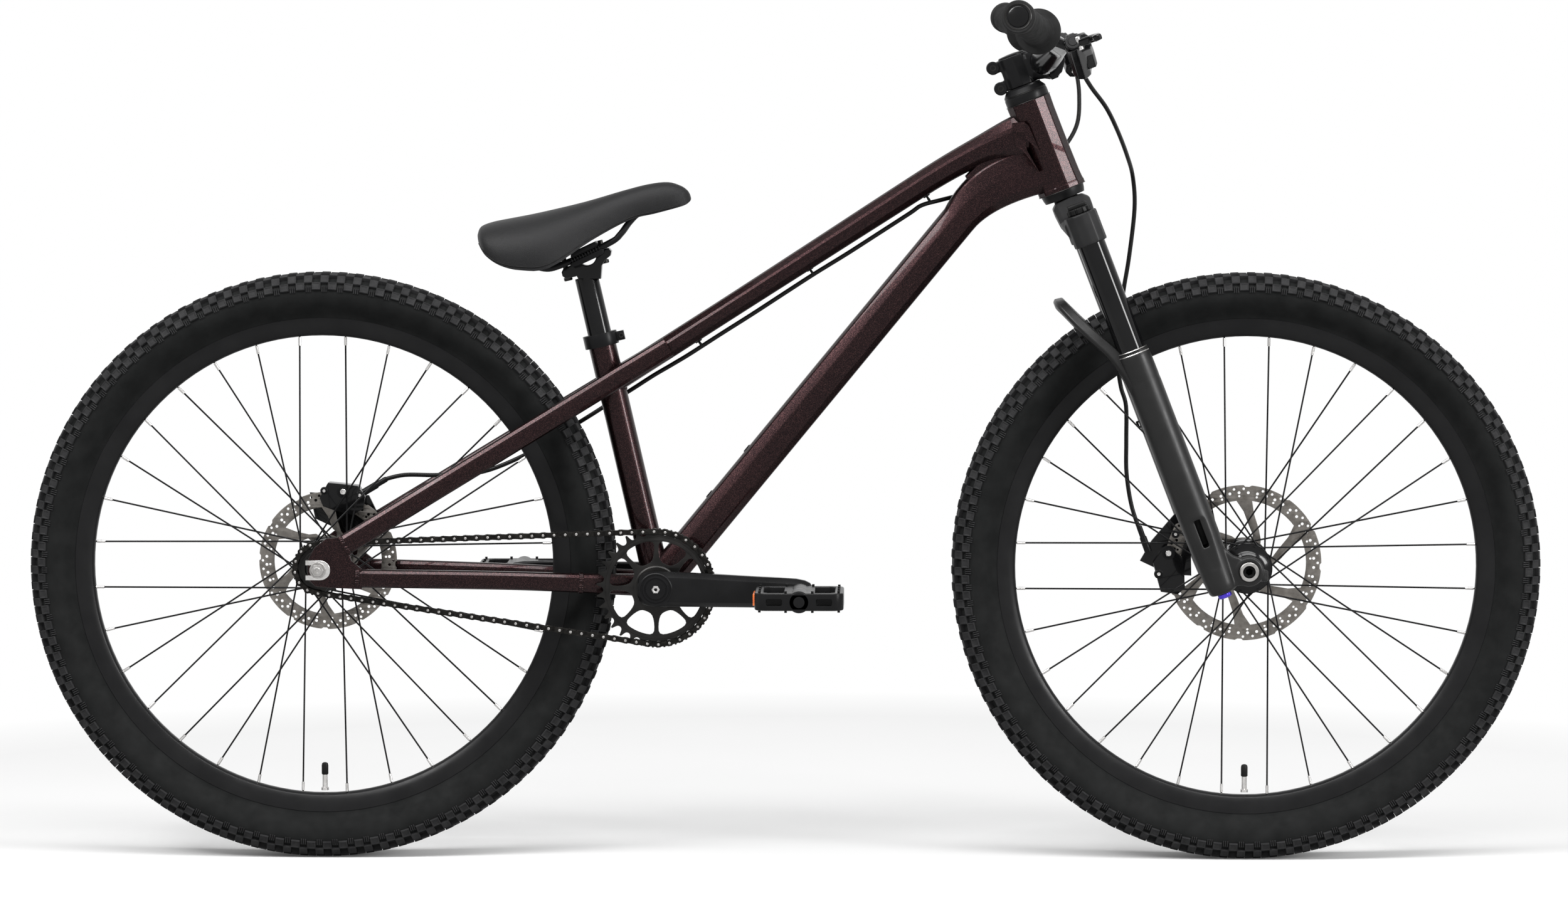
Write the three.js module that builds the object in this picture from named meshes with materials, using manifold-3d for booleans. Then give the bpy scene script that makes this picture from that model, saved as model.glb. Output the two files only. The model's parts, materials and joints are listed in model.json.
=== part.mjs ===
// Dirt jump bike with 26 inch wheels, a 100 mm suspension fork and a single speed drive.
// Millimetres. +X points forward, +Y to the rider's left, +Z up.
// The origin is on the ground, midway between the two axles.

import * as THREE from 'three';
import { mergeVertices } from 'three/addons/utils/BufferGeometryUtils.js';
import Module from 'manifold-3d';

const wasm = await Module();
wasm.setup();

// Whole bike
const wheelbase = 1060;
const headAngle = 69;
const seatAngle = 77;
const fit = 0.3;
const overrun = 4;
const weldTolerance = 0.0001;

// Tyre and rim
const tyreHeight = 52;
const tyreWidth = 58;
const tyreWall = 3.2;
const treadHalfWidth = 22;
const treadCrownHalfWidth = 9;
const knobDepth = 3.5;
const bellyShare = 0.55;
const rimOuterRadius = 285.5;
const rimDepth = 21.8;
const rimWidth = 27;
const rimBedWidth = 20;
const rimLip = 2.2;
const rimChannelDepth = 8;
const wheelSides = 28;
const treadColumns = 2;
const bottomShare = -0.25;

// Spokes and hubs
const spokeCount = 32;
const spokeCrossShare = 3;
const spokeRadius = 1.1;
const spokeSides = 3;
const smallSides = 8;
const spokeRimOffset = 2.4;
const flangeRadius = 29;
const flangeHoleInset = 4;
const flangeThickness = 4;
const flangeHalfSpacing = 32;
const hubSides = 10;
const tubeSides = 12;
const frontHubWidth = 110;
const frontHubShellRadius = 21;
const frontHubEndRadius = 15;
const frontAxleRadius = 10;
const rearHubWidth = 135;
const rearHubShellRadius = 17;
const rearAxleRadius = 5;
const rearHubThreadRadius = 16;
const axleNutRadius = 8.5;
const axleNutLength = 7;
const washerRadius = 12;
const washerThickness = 2;
const valveRadius = 3;
const valveLength = 35;
const valveCapRadius = 3.9;
const valveCapLength = 13;

// Brake rotors and calipers
const frontRotorRadius = 90;
const rearRotorRadius = 80;
const rotorThickness = 1.8;
const rotorTrack = 14;
const rotorHubRadius = 27;
const rotorBoreRadius = 18;
const rotorArms = 6;
const rotorArmWidth = 9;
const rotorSweepShare = 0.55;
const rotorWave = 1.4;
const frontRotorInset = 14;
const rearRotorInset = 15.3;
const caliperHalfWidth = 13;
const caliperSlot = 2.4;
const caliperLength = 52;
const caliperHeight = 34;
const bracketThickness = 6;

// Drive
const chainPitch = 12.7;
const stayClearance = 48;
const chainringTeeth = 32;
const cogTeeth = 14;
const chainLine = 48.5;
const bottomBracketDrop = 21.9;
const rollerRadius = 3.85;
const rollerReachShare = 0.8;
const rollerWidth = 2.9;
const linkPlateThickness = 1;
const linkPlateHeight = 7.9;
const linkPlateNeck = 5.6;
const toothHeight = 3.6;
const toothTipWidth = 2;
const toothRootWidth = 6.4;
const toothThickness = 2.1;
const chainringHubRadius = 25;
const chainringWebRadius = 53;
const chainringWindows = 8;
const chainringArmWidth = 7;
const cogBodyRadius = 21;
const cogBodyWidth = 14;

// Cranks and pedals
const crankLength = 165;
const crankAngle = 1.2;
const crankHubHeight = 40;
const crankTipHeight = 34;
const crankHubInner = 52.5;
const crankHubOuter = 70;
const crankTipInner = 68;
const crankTipOuter = 82;
const crankEdge = 5;
const spindleRadius = 12;
const spindleCapRadius = 9;
const spindleCapHeight = 1.5;
const pedalAxleRadius = 6;
const pedalFlangeRadius = 9;
const pedalFlangeLength = 4;
const pedalLength = 100;
const pedalWidth = 96;
const pedalThickness = 24;
const pedalBarrelRadius = 13;
const pedalFrame = 11;
const pedalCorner = 14;
const pedalRib = 9;
const pedalSlotHeight = 9;

// Bottom bracket
const shellRadius = 21;
const shellBore = 17;
const shellWidth = 73;
const cupRadius = 22.5;
const cupWidth = 9;
const cupWall = 2;

// Head tube, headset and stem
const headTubeLength = 109;
const headTubeTopRadius = 26.5;
const headTubeBottomRadius = 28.7;
const headTubeBore = 17.3;
const headTubeLip = 5;
const headTubeSides = 16;
const cupLipRadius = 25;
const cupLipHeight = 10;
const cupSkirt = 11;
const steererRadius = 14.3;
const spacerRadius = 21;
const spacerHeight = 8;
const stemHeight = 36;
const stemRadius = 19;
const stemReach = 33;
const stemBarWidth = 52;
const stemBarRadius = 24;
const stemCapHeight = 3;
const faceplateDepth = 11;
const stemBodyShare = 0.62;

// Handlebar, grips and levers
const barWidth = 756;
const barRadius = 11.1;
const barClampRadius = 15.9;
const barClampHalf = 36;
const barRise = 10.2;
const barForward = 18.2;
const barBendY = 115;
const barBacksweep = 7.6;
const barUpsweep = 10.6;
const gripLength = 132;
const gripRadius = 16.5;
const gripEndRadius = 18.2;
const gripFlangeRadius = 25.5;
const gripFlangeWidth = 4;
const gripEndWidth = 6;
const gripPlug = 3;
const leverInset = 44;
const leverClampWidth = 13;
const leverClampRadius = 15.5;
const leverBodyTop = 157;
const leverBodyBottom = 121;
const leverBodyForward = 66;
const leverBodyOutwards = 17;
const leverBodyInwards = 52;
const leverBodyRadius = 11;
const leverReservoirWidth = 15;
const leverReservoirLength = 42;
const leverReservoirHeight = 20;
const leverBladeLength = 86;
const leverBladeThickness = 9;
const leverBladeHeight = 13;
const leverBladeForward = 21;

// Fork
const forkOffset = 43;
const crownClearance = 31.5;
const lowerStack = 10;
const legSpacing = 130;
const legForward = 8;
const forkTravel = 100;
const crownThickness = 26;
const crownHalfDepth = 23;
const crownSleeveRadius = 19.5;
const crownSleeveTop = 30;
const crownSleeveBottom = 67;
const crownRoof = 4;
const stanchionRadius = 16;
const stanchionWall = 2.5;
const stanchionLength = 290;
const sealTop = 196;
const sealHeight = 7;
const sealRadius = 18.6;
const legRadius = 19.8;
const legTopRadius = 19;
const legFootRadius = 17.3;
const legFootDrop = 13;
const bottomOutRoom = 16;
const archHeight = 101;
const archBehind = 57;
const archThickness = 14;
const archWidth = 17;
const axleBossRadius = 17;
const axleHeadRadius = 11;
const axleHeadLength = 2.5;
const knobRadius = 14;
const knobHeight = 12;
const reboundRadius = 8;
const reboundHeight = 6;

// Frame tubes
const topTubeHeight = 27.5;
const topTubeWidth = 34;
const topTubeSeatDrop = 48.5;
const topTubeHeadJoint = 70;
const downTubeHeight = 40.3;
const downTubeWidth = 42;
const downTubeAngle = 50.6;
const downTubeStraight = 543;
const downTubeHeadJoint = 22;
const downTubeEndAngle = 12;
const seatTubeRadius = 15.9;
const seatTubeLength = 286;
const stayHeight = 23.6;
const stayWidth = 16;
const chainstayHeight = 21;
const chainstayWidth = 15;
const guideWidth = 9;
const guideHeight = 8;
const collarHeight = 15;
const collarWall = 4;
const collarEar = 9;
const collarSlot = 3;
const dropoutThickness = 7;
const dropoutLength = 62;
const dropoutHeight = 52;

// Seat
const postRadius = 13.6;
const postBore = 11.4;
const postLength = 200;
const postInsertion = 117;
const cradleForward = 7;
const cradleRadius = 18.5;
const cradleWidth = 33;
const clampRadius = 13.6;
const clampWidth = 54;
const railRadius = 3.5;
const railSpacing = 44;
const railSteps = 18;
const saddleLength = 247;
const saddlePitch = 13;
const saddleWidth = 134;
const saddleThickness = 13;
const saddleRise = 67;
const saddleBack = 116;

// Brake hose
const hoseRadius = 2.5;
const hoseSides = 6;
const hoseStep = 46;

// The brake hoses' routes, chosen by hand: the front one from its lever down behind the fork, the rear
// one past the head tube, through the guides under the top tube and along the left seatstay.
const frontHoseRoute = [
  [336.6, -149.2, 905.6], [338.6, -138.5, 900.4], [348, -129, 886], [365, -119, 864], [379, -108, 838],
  [391, -95, 808], [399.3, -78, 782.4], [402.7, -48, 745.8], [395.7, -8, 690.6], [390.5, 22, 653.5],
  [388, 34, 628], [386, 39, 600], [384.6, 41, 566], [388, 44, 540], [394, 45.5, 518], [394.5, 46, 478],
  [395, 46, 440], [401.4, 46, 400.6], [413.8, 46.5, 366],
];
const rearHoseRoute = [
  [336.6, 149.2, 905.6], [338.6, 138.5, 900.4], [341, 119, 876], [338, 92, 843], [322, 66, 816],
  [300, 48, 797], [270, 38, 783], [236, 31, 771], [205, 20, 763], [180, 7, 757], [158, 0, 751.2],
  [144, 0, 741.9], [108, 0, 718.6], [72, 0, 695.4], [36, 0, 673.2], [0, 0, 649.9], [-36, 0, 626.4],
  [-72, 0, 603.6], [-108, 0, 580.4], [-130, 5, 567], [-150, 13, 555], [-176, 22, 538], [-197, 24, 525],
  [-228, 30.5, 505], [-262, 37, 484], [-300, 41.5, 461], [-350, 43.5, 441], [-400, 46, 437],
  [-440, 47, 437], [-466, 48, 431],
];

// Worked out from the sizes above

const radians = THREE.MathUtils.degToRad;
const rimInnerRadius = rimOuterRadius - rimDepth;
const tyreRadius = rimOuterRadius + tyreHeight;
const axleToCrown = tyreRadius + forkTravel + crownClearance;
const topTubeSeatJoint = seatTubeLength - topTubeSeatDrop;
const leverClampY = barWidth / 2 - gripLength - leverInset;
const axleHeight = tyreRadius * Math.cos(Math.PI / (wheelSides * treadColumns));
const rearAxle = new THREE.Vector3(-wheelbase / 2, 0, axleHeight);
const frontAxle = new THREE.Vector3(wheelbase / 2, 0, axleHeight);
const steeringLean = radians(90 - headAngle);
const axleDepth = axleToCrown + lowerStack;
const legFoot = axleDepth + legFootDrop;

const steeringTurn = new THREE.Matrix4().makeRotationY(-steeringLean);
const steeringOrigin = new THREE.Vector3(forkOffset, 0, -axleDepth)
  .applyMatrix4(steeringTurn).negate().add(frontAxle);
const steeringFrame = new THREE.Matrix4().setPosition(steeringOrigin).multiply(steeringTurn);

function pitchRadius(teeth) {
  return chainPitch / (2 * Math.sin(Math.PI / teeth));
}

const chainringRadius = pitchRadius(chainringTeeth);
const cogRadius = pitchRadius(cogTeeth);

// The even number of links that brings the rear tyre nearest to its clearance from the crank.
const shortestStay = tyreRadius + stayClearance;
const chainLinks = 2 * Math.round(chainSpans(shortestStay).total / 2);

// How far apart two sprockets stand so that a chain of this many links is just taut.
function taut(links) {
  let low = chainringRadius + cogRadius;
  let high = links * chainPitch;
  for (let step = 0; step < 60; step += 1) {
    const middle = (low + high) / 2;
    if (chainSpans(middle).total > links) high = middle;
    else low = middle;
  }
  return (low + high) / 2;
}

// The chain's straight run, and its wrap on each sprocket, counted in links.
function chainSpans(distance) {
  const tilt = Math.asin((chainringRadius - cogRadius) / distance);
  const run = Math.sqrt(distance ** 2 - (chainringRadius - cogRadius) ** 2) / chainPitch;
  const ringWrap = chainringTeeth * (0.5 + tilt / Math.PI);
  const cogWrap = cogTeeth * (0.5 - tilt / Math.PI);
  return { tilt, run, ringWrap, cogWrap, total: 2 * run + ringWrap + cogWrap };
}

const chainstayLength = taut(chainLinks);
const bottomBracket = new THREE.Vector3(
  rearAxle.x + Math.sqrt(chainstayLength ** 2 - bottomBracketDrop ** 2),
  0,
  axleHeight - bottomBracketDrop,
);

const seatAxis = new THREE.Vector3(-Math.cos(radians(seatAngle)), 0, Math.sin(radians(seatAngle)));

function alongSeat(distance) {
  return bottomBracket.clone().addScaledVector(seatAxis, distance);
}

function steered(x, y, z) {
  return new THREE.Vector3(x, y, z).applyMatrix4(steeringFrame);
}

// Geometry helpers

// Keeps positions only, joins shared vertices, drops empty triangles and turns faces outwards.
function closed(source) {
  const bare = new THREE.BufferGeometry();
  bare.setAttribute('position', source.getAttribute('position'));
  bare.setIndex(source.getIndex());
  const merged = mergeVertices(bare, weldTolerance);
  const corners = merged.getIndex().array;
  const kept = [];
  for (let i = 0; i < corners.length; i += 3) {
    const [a, b, c] = corners.slice(i, i + 3);
    if (a !== b && b !== c && c !== a) kept.push([a, b, c]);
  }
  const outward = signedVolume(merged, kept) > 0;
  merged.setIndex(kept.flatMap(([a, b, c]) => (outward ? [a, b, c] : [a, c, b])));
  return merged;
}

function signedVolume(geometry, triangles) {
  const position = geometry.getAttribute('position');
  const [a, b, c] = [new THREE.Vector3(), new THREE.Vector3(), new THREE.Vector3()];
  let sum = 0;
  for (const [i, j, k] of triangles) {
    a.fromBufferAttribute(position, i);
    b.fromBufferAttribute(position, j);
    c.fromBufferAttribute(position, k);
    sum += a.dot(b.cross(c));
  }
  return sum;
}

function toSolid(source) {
  const geometry = closed(source);
  return new wasm.Manifold(new wasm.Mesh({
    numProp: 3,
    vertProperties: new Float32Array(geometry.getAttribute('position').array),
    triVerts: new Uint32Array(geometry.getIndex().array),
  }));
}

function fromSolid(solid) {
  const { vertProperties, triVerts } = solid.getMesh();
  const geometry = new THREE.BufferGeometry();
  geometry.setAttribute('position', new THREE.BufferAttribute(new Float32Array(vertProperties), 3));
  geometry.setIndex(new THREE.BufferAttribute(new Uint32Array(triVerts), 1));
  return geometry;
}

function cut(body, ...tools) {
  return fromSolid(tools.reduce((rest, tool) => rest.subtract(toSolid(tool)), toSolid(body)));
}

function join(first, ...others) {
  return fromSolid(others.reduce((whole, other) => whole.add(toSolid(other)), toSolid(first)));
}

// A profile of [radius, height] pairs turned about the Y axis, which is the axle of a wheel or crank.
function spun(profile, sides) {
  const points = profile.map(([radius, height]) => new THREE.Vector2(radius, height));
  return closed(new THREE.LatheGeometry(points, sides));
}

// The same, turned about the Z axis.
function turned(profile, sides) {
  return spun(profile, sides).rotateX(Math.PI / 2);
}

function ringProfile(inner, outer, low, high) {
  return [[inner, low], [outer, low], [outer, high], [inner, high], [inner, low]];
}

function rodProfile(radius, low, high) {
  return [[0, low], [radius, low], [radius, high], [0, high]];
}

// A shape with holes. Its outline has to run anticlockwise, or the holes' walls would face inwards.
function shapeOf(outline, holes) {
  const points = outline.map(([a, b]) => new THREE.Vector2(a, b));
  const shape = new THREE.Shape(THREE.ShapeUtils.isClockWise(points) ? points.reverse() : points);
  shape.holes = holes.map((hole) => new THREE.Path(hole.map(([a, b]) => new THREE.Vector2(a, b))));
  return shape;
}

// An outline in the X and Y directions, thickened from one Z to another.
function slab(outline, fromZ, toZ, holes = []) {
  const depth = toZ - fromZ;
  const solid = new THREE.ExtrudeGeometry(shapeOf(outline, holes), { depth, bevelEnabled: false });
  return closed(solid.translate(0, 0, fromZ));
}

// An outline in the X and Z directions, thickened from one Y to another.
function plate(outline, fromY, toY, holes = []) {
  return slab(outline, -toY, -fromY, holes).rotateX(Math.PI / 2);
}

function box(centre, size) {
  return closed(new THREE.BoxGeometry(...size).translate(...centre));
}

function arc(radius, from, to, count, centre = [0, 0]) {
  return Array.from({ length: count }, (_, i) => {
    const angle = count > 1 ? from + ((to - from) * i) / (count - 1) : from;
    return [centre[0] + radius * Math.cos(angle), centre[1] + radius * Math.sin(angle)];
  });
}

// Its first corner is at the top, like a turned body's, so that a hub and its bore match.
function circle(radius, sides) {
  return arc(radius, Math.PI / 2, Math.PI * (2.5 - 2 / sides), sides);
}

function roundedBox(length, width, corner) {
  const [x, y] = [length / 2 - corner, width / 2 - corner];
  const quarter = Math.PI / 2;
  return [[x, y], [-x, y], [-x, -y], [x, -y]]
    .flatMap((centre, i) => arc(corner, i * quarter, (i + 1) * quarter, 3, centre));
}

// A rounded box or oval as an outline: a higher squareness has flatter sides.
function oval(width, height, sides, squareness = 2) {
  return Array.from({ length: sides }, (_, i) => {
    const angle = (2 * Math.PI * (i + 0.5)) / sides;
    const round = (value) => Math.sign(value) * Math.abs(value) ** (2 / squareness);
    return [(width / 2) * round(Math.cos(angle)), (height / 2) * round(Math.sin(angle))];
  });
}

// Skins a body over rings of points, with a flat end on the first and the last ring.
function skin(rings) {
  const size = rings[0].length;
  const positions = rings.flat().flatMap((point) => point.toArray());
  const index = [];
  for (let row = 0; row < rings.length - 1; row += 1) {
    for (let i = 0; i < size; i += 1) {
      const [a, b] = [row * size + i, row * size + ((i + 1) % size)];
      index.push(a, b, b + size, a, b + size, a + size);
    }
  }
  const last = (rings.length - 1) * size;
  for (const [a, b, c] of endFaces(rings[0])) index.push(a, c, b);
  for (const [a, b, c] of endFaces(rings.at(-1))) index.push(last + a, last + b, last + c);
  const geometry = new THREE.BufferGeometry();
  geometry.setAttribute('position', new THREE.Float32BufferAttribute(positions, 3));
  geometry.setIndex(index);
  return closed(geometry);
}

// Triangles that close a flat ring, wound the way the ring runs.
function endFaces(ring) {
  const normal = new THREE.Vector3();
  ring.forEach((point, i) => normal.add(point.clone().cross(ring[(i + 1) % ring.length])));
  normal.normalize();
  const across = ring[1].clone().sub(ring[0]).normalize();
  const up = normal.clone().cross(across);
  const flat = ring.map((point) => new THREE.Vector2(point.dot(across), point.dot(up)));
  return THREE.ShapeUtils.triangulateShape(flat, []);
}

// A tube whose section can change: each station has a centre, a width across and a height.
function tube(stations, { sides = 12, squareness = 2, grow = 0, across = new THREE.Vector3(0, 1, 0) } = {}) {
  const centres = stations.map((station) => station.at);
  const rings = stations.map(({ at, width, height }, i) => {
    const ahead = centres[Math.min(i + 1, centres.length - 1)];
    const tangent = ahead.clone().sub(centres[Math.max(i - 1, 0)]).normalize();
    const side = across.clone().addScaledVector(tangent, -across.dot(tangent)).normalize();
    const up = tangent.clone().cross(side);
    return oval(width + 2 * grow, height + 2 * grow, sides, squareness)
      .map(([a, b]) => at.clone().addScaledVector(side, a).addScaledVector(up, b));
  });
  return skin(rings);
}

function rod(from, to, radius, sides) {
  const length = from.distanceTo(to);
  const turn = new THREE.Quaternion().setFromUnitVectors(
    new THREE.Vector3(0, 1, 0),
    to.clone().sub(from).normalize(),
  );
  const middle = from.clone().add(to).multiplyScalar(0.5);
  const solid = new THREE.CylinderGeometry(radius, radius, length, sides);
  return closed(solid.applyQuaternion(turn).translate(...middle.toArray()));
}

function extrudedAlong(curve, section, steps) {
  const shape = new THREE.Shape(section.map(([a, b]) => new THREE.Vector2(a, b)));
  return closed(new THREE.ExtrudeGeometry(shape, { steps, extrudePath: curve, bevelEnabled: false }));
}

// The largest shaft that turns inside a bore with this many sides.
function shaftInside(bore, sides) {
  return bore * Math.cos(Math.PI / sides) - fit;
}

// A bore that a shaft with the same number of sides can turn in.
function boreRound(radius, sides) {
  return (radius + fit) / Math.cos(Math.PI / sides);
}

function mirrored(geometry) {
  return closed(geometry.clone().scale(1, -1, 1));
}

function finish(color, roughness, metalness) {
  return new THREE.MeshStandardMaterial({ color, roughness, metalness, flatShading: true });
}

const finishes = {
  paint: finish(0x32191c, 0.3, 0.5),
  satin: finish(0x141414, 0.45, 0.4),
  gloss: finish(0x0b0b0b, 0.15, 0.5),
  rubber: finish(0x18181a, 0.85, 0),
  steel: finish(0x9b9690, 0.35, 0.9),
  chain: finish(0x26241f, 0.4, 0.8),
  cover: finish(0x1a1a1a, 0.8, 0),
  knob: finish(0x2a2760, 0.4, 0.5),
};

const bike = new THREE.Group();
const steering = new THREE.Group();
steering.applyMatrix4(steeringFrame);
bike.add(steering);

function add(group, name, geometry, material) {
  const mesh = new THREE.Mesh(geometry, material);
  mesh.name = name;
  group.add(mesh);
  return mesh;
}

function inFrame(matrix, geometry) {
  return geometry.clone().applyMatrix4(matrix);
}

// Head tube and headset, in the steering axis's own frame

const headTop = headTubeLength;
const cupBottom = -lowerStack;
const topCapLow = headTop + cupLipHeight + fit;
const stemLow = topCapLow + spacerHeight + fit;
const stemHigh = stemLow + stemHeight;
const stemMiddle = (stemLow + stemHigh) / 2;

function headTubeProfile(bore, grow) {
  const waist = (headTubeTopRadius + headTubeBottomRadius) / 2 - headTubeLip / 5;
  return [
    [bore, -grow],
    [headTubeBottomRadius + grow, -grow],
    [headTubeBottomRadius + grow, headTubeLip],
    [waist + grow, headTubeLength / 2],
    [headTubeTopRadius + grow, headTubeLength - headTubeLip],
    [headTubeTopRadius + grow, headTubeLength + grow],
    [bore, headTubeLength + grow],
  ];
}

function headTube() {
  const profile = headTubeProfile(headTubeBore, 0);
  return turned([...profile, profile[0]], headTubeSides);
}

function headTubeEnvelope() {
  return inFrame(steeringFrame, turned(headTubeProfile(0, fit), headTubeSides));
}

// A cup that is pressed into one end of the head tube: its lip faces down where way is -1.
function headsetCup(end, way) {
  const bore = boreRound(steererRadius, hubSides);
  const skirt = shaftInside(headTubeBore, headTubeSides);
  const near = end + way * fit;
  const far = end + way * (cupLipHeight - (way < 0 ? fit : 0));
  return turned([
    [bore, end - way * cupSkirt],
    [skirt, end - way * cupSkirt],
    [skirt, near],
    [cupLipRadius, near],
    [cupLipRadius, far],
    [bore, far],
    [bore, end - way * cupSkirt],
  ], hubSides);
}

// Frame tubes

// How far along the top tube each station is, how far it bows up, and its height and width there,
// as shares of the tube's length, height and width.
const topTubeShares = [
  [0, 0, 0.95, 0.94],
  [0.26, 0.0126, 0.94, 0.97],
  [0.48, 0.0238, 0.98, 1],
  [0.63, 0.0316, 1.02, 1],
  [0.77, 0.0378, 1.06, 1.03],
  [0.865, 0.034, 1.22, 1.1],
  [0.94, 0.02, 1.75, 1.16],
  [1, 0, 2.25, 1.2],
];

function topTube(grow = 0) {
  const from = alongSeat(topTubeSeatJoint);
  const to = steered(0, 0, topTubeHeadJoint);
  const length = from.distanceTo(to);
  const stations = topTubeShares.map(([along, bow, height, width]) => {
    const at = from.clone().lerp(to, along);
    at.z += bow * length;
    return { at, width: width * topTubeWidth, height: height * topTubeHeight };
  });
  return tube(stations, { squareness: 2.6, grow });
}

// The hose guides sit under the top tube at these shares of its length, square to it, and the hose
// is tied up to them.
const guideShares = [0.19, 0.45, 0.72];

// A point of the top tube's centre line, its slope and its height there, as a share of the tube's.
function onTopTube(along) {
  const from = alongSeat(topTubeSeatJoint);
  const to = steered(0, 0, topTubeHeadJoint);
  const bowed = new THREE.Vector3(0, 0, from.distanceTo(to));
  const next = topTubeShares.findIndex(([share]) => share > along);
  const [[near, lowBow, height], [far, highBow]] = topTubeShares.slice(next - 1, next + 1);
  const place = (share, bow) => from.clone().lerp(to, share).addScaledVector(bowed, bow);
  const [behind, front] = [place(near, lowBow), place(far, highBow)];
  const at = behind.clone().lerp(front, (along - near) / (far - near));
  return { at, height, slope: Math.atan2(front.z - behind.z, front.x - behind.x) };
}

function hoseGuides() {
  return guideShares.map((share) => {
    const { at, height, slope } = onTopTube(share);
    const guide = new THREE.BoxGeometry(guideWidth, guideWidth, guideHeight);
    const drop = (height * topTubeHeight) / 2;
    return closed(guide.translate(0, 0, -drop).rotateY(-slope).translate(at.x, 0, at.z));
  });
}

function downTubePath() {
  const start = bottomBracket.clone();
  const run = new THREE.Vector3(Math.cos(radians(downTubeAngle)), 0, Math.sin(radians(downTubeAngle)));
  const bend = start.clone().addScaledVector(run, downTubeStraight);
  const end = steered(0, 0, downTubeHeadJoint);
  const back = new THREE.Vector3(Math.cos(radians(downTubeEndAngle)), 0, Math.sin(radians(downTubeEndAngle)));
  const gap = end.clone().sub(bend);
  const along = (gap.x * back.z - gap.z * back.x) / (run.x * back.z - run.z * back.x);
  const curve = new THREE.QuadraticBezierCurve3(bend, bend.clone().addScaledVector(run, along), end);
  return [start, start.clone().lerp(bend, 0.5), ...curve.getPoints(4)];
}

function downTube(grow = 0) {
  const stations = downTubePath().map((at) => ({ at, width: downTubeWidth, height: downTubeHeight }));
  return tube(stations, { sides: 12, squareness: 2.5, grow });
}

function seatTubeRod(radius, from, to) {
  return rod(alongSeat(from), alongSeat(to), radius, tubeSides);
}

function shellRod(radius, halfWidth) {
  return spun(rodProfile(radius, -halfWidth, halfWidth), hubSides).translate(...bottomBracket.toArray());
}

function bottomBracketShell() {
  const half = shellWidth / 2;
  return spun(ringProfile(shellBore, shellRadius, -half, half), hubSides)
    .translate(...bottomBracket.toArray());
}

// Two cups joined by the sleeve that keeps dirt off the spindle.
function bottomBracketBearings() {
  const half = shellWidth / 2;
  const bore = boreRound(spindleRadius, hubSides);
  const inside = shellBore - fit;
  const outside = half + fit + cupWidth;
  return spun([
    [bore, -outside],
    [cupRadius, -outside],
    [cupRadius, -half - fit],
    [inside, -half - fit],
    [inside, cupSkirt - half],
    [inside - cupWall, cupSkirt - half],
    [inside - cupWall, half - cupSkirt],
    [inside, half - cupSkirt],
    [inside, half + fit],
    [cupRadius, half + fit],
    [cupRadius, outside],
    [bore, outside],
    [bore, -outside],
  ], hubSides).translate(...bottomBracket.toArray());
}

// The chainstays' centres from the bottom bracket to the dropouts: their distance behind it and above
// it as shares of the chainstay's length, their distance from the middle as shares of half the rear
// hub's width, then height and width shares.
const chainstayShares = [
  [0.06, 0.004, 0.4, 1.16, 1],
  [0.178, 0.01, 0.54, 1.06, 0.94],
  [0.275, 0.0145, 0.625, 1.02, 1],
  [0.43, 0.021, 0.73, 1, 1.04],
  [0.64, 0.0265, 0.86, 1, 1.04],
  [0.845, 0.031, 1.005, 0.98, 0.96],
  [0.885, 0.032, 1.02, 0.98, 0.96],
];

// The seatstays run straight, seen from the side, from above the dropouts into the top tube: shares of
// that run, of half the rear hub's width, of height and of width. The first two shares place their foot
// behind and above the bottom bracket.
const seatstayFootShares = [0.925, 0.127];
const seatstayTopShare = 0.147;
const seatstayShares = [
  [0, 1.02, 1, 0.98],
  [0.057, 1.01, 1, 0.98],
  [0.274, 0.9, 1, 1],
  [0.481, 0.76, 1, 1],
  [0.641, 0.635, 1, 1],
  [0.734, 0.53, 1, 1],
  [0.837, 0.385, 1, 1],
  [1, 0.34, 0.97, 1],
];

function stayTube(places, height, width, grow) {
  const stations = places.map(([x, z, out, heightShare, widthShare]) => ({
    at: new THREE.Vector3(x, (-out * rearHubWidth) / 2, z),
    height: height * heightShare,
    width: width * widthShare,
  }));
  return tube(stations, { sides: 8, squareness: 2.3, grow });
}

function chainstay() {
  const places = chainstayShares.map(([back, up, ...rest]) => [
    bottomBracket.x - back * chainstayLength,
    bottomBracket.z + up * chainstayLength,
    ...rest,
  ]);
  return stayTube(places, chainstayHeight, chainstayWidth, 0);
}

function seatstay(grow = 0) {
  const [back, up] = seatstayFootShares;
  const foot = new THREE.Vector3(-back * chainstayLength, 0, up * chainstayLength).add(bottomBracket);
  const top = onTopTube(seatstayTopShare).at;
  const places = seatstayShares.map(([along, ...rest]) => {
    const at = foot.clone().lerp(top, along);
    return [at.x, at.z, ...rest];
  });
  return stayTube(places, stayHeight, stayWidth, grow);
}

// The dropout plate, from the axle: shares of its length forward and of its height up.
const dropoutShares = [
  [-0.19, -0.2], [-0.05, -0.36], [0.45, -0.4], [0.81, -0.42], [0.81, 0.02],
  [0.62, 0.2], [0.57, 0.42], [0.38, 0.72], [0.16, 0.7], [-0.06, 0.5], [-0.19, 0.22],
];

function dropoutOutline(grow = 0) {
  return dropoutShares.map(([x, z]) => {
    const reach = Math.hypot(x * dropoutLength, z * dropoutHeight);
    const stretch = 1 + grow / reach;
    return [x * dropoutLength * stretch, z * dropoutHeight * stretch];
  });
}

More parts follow.
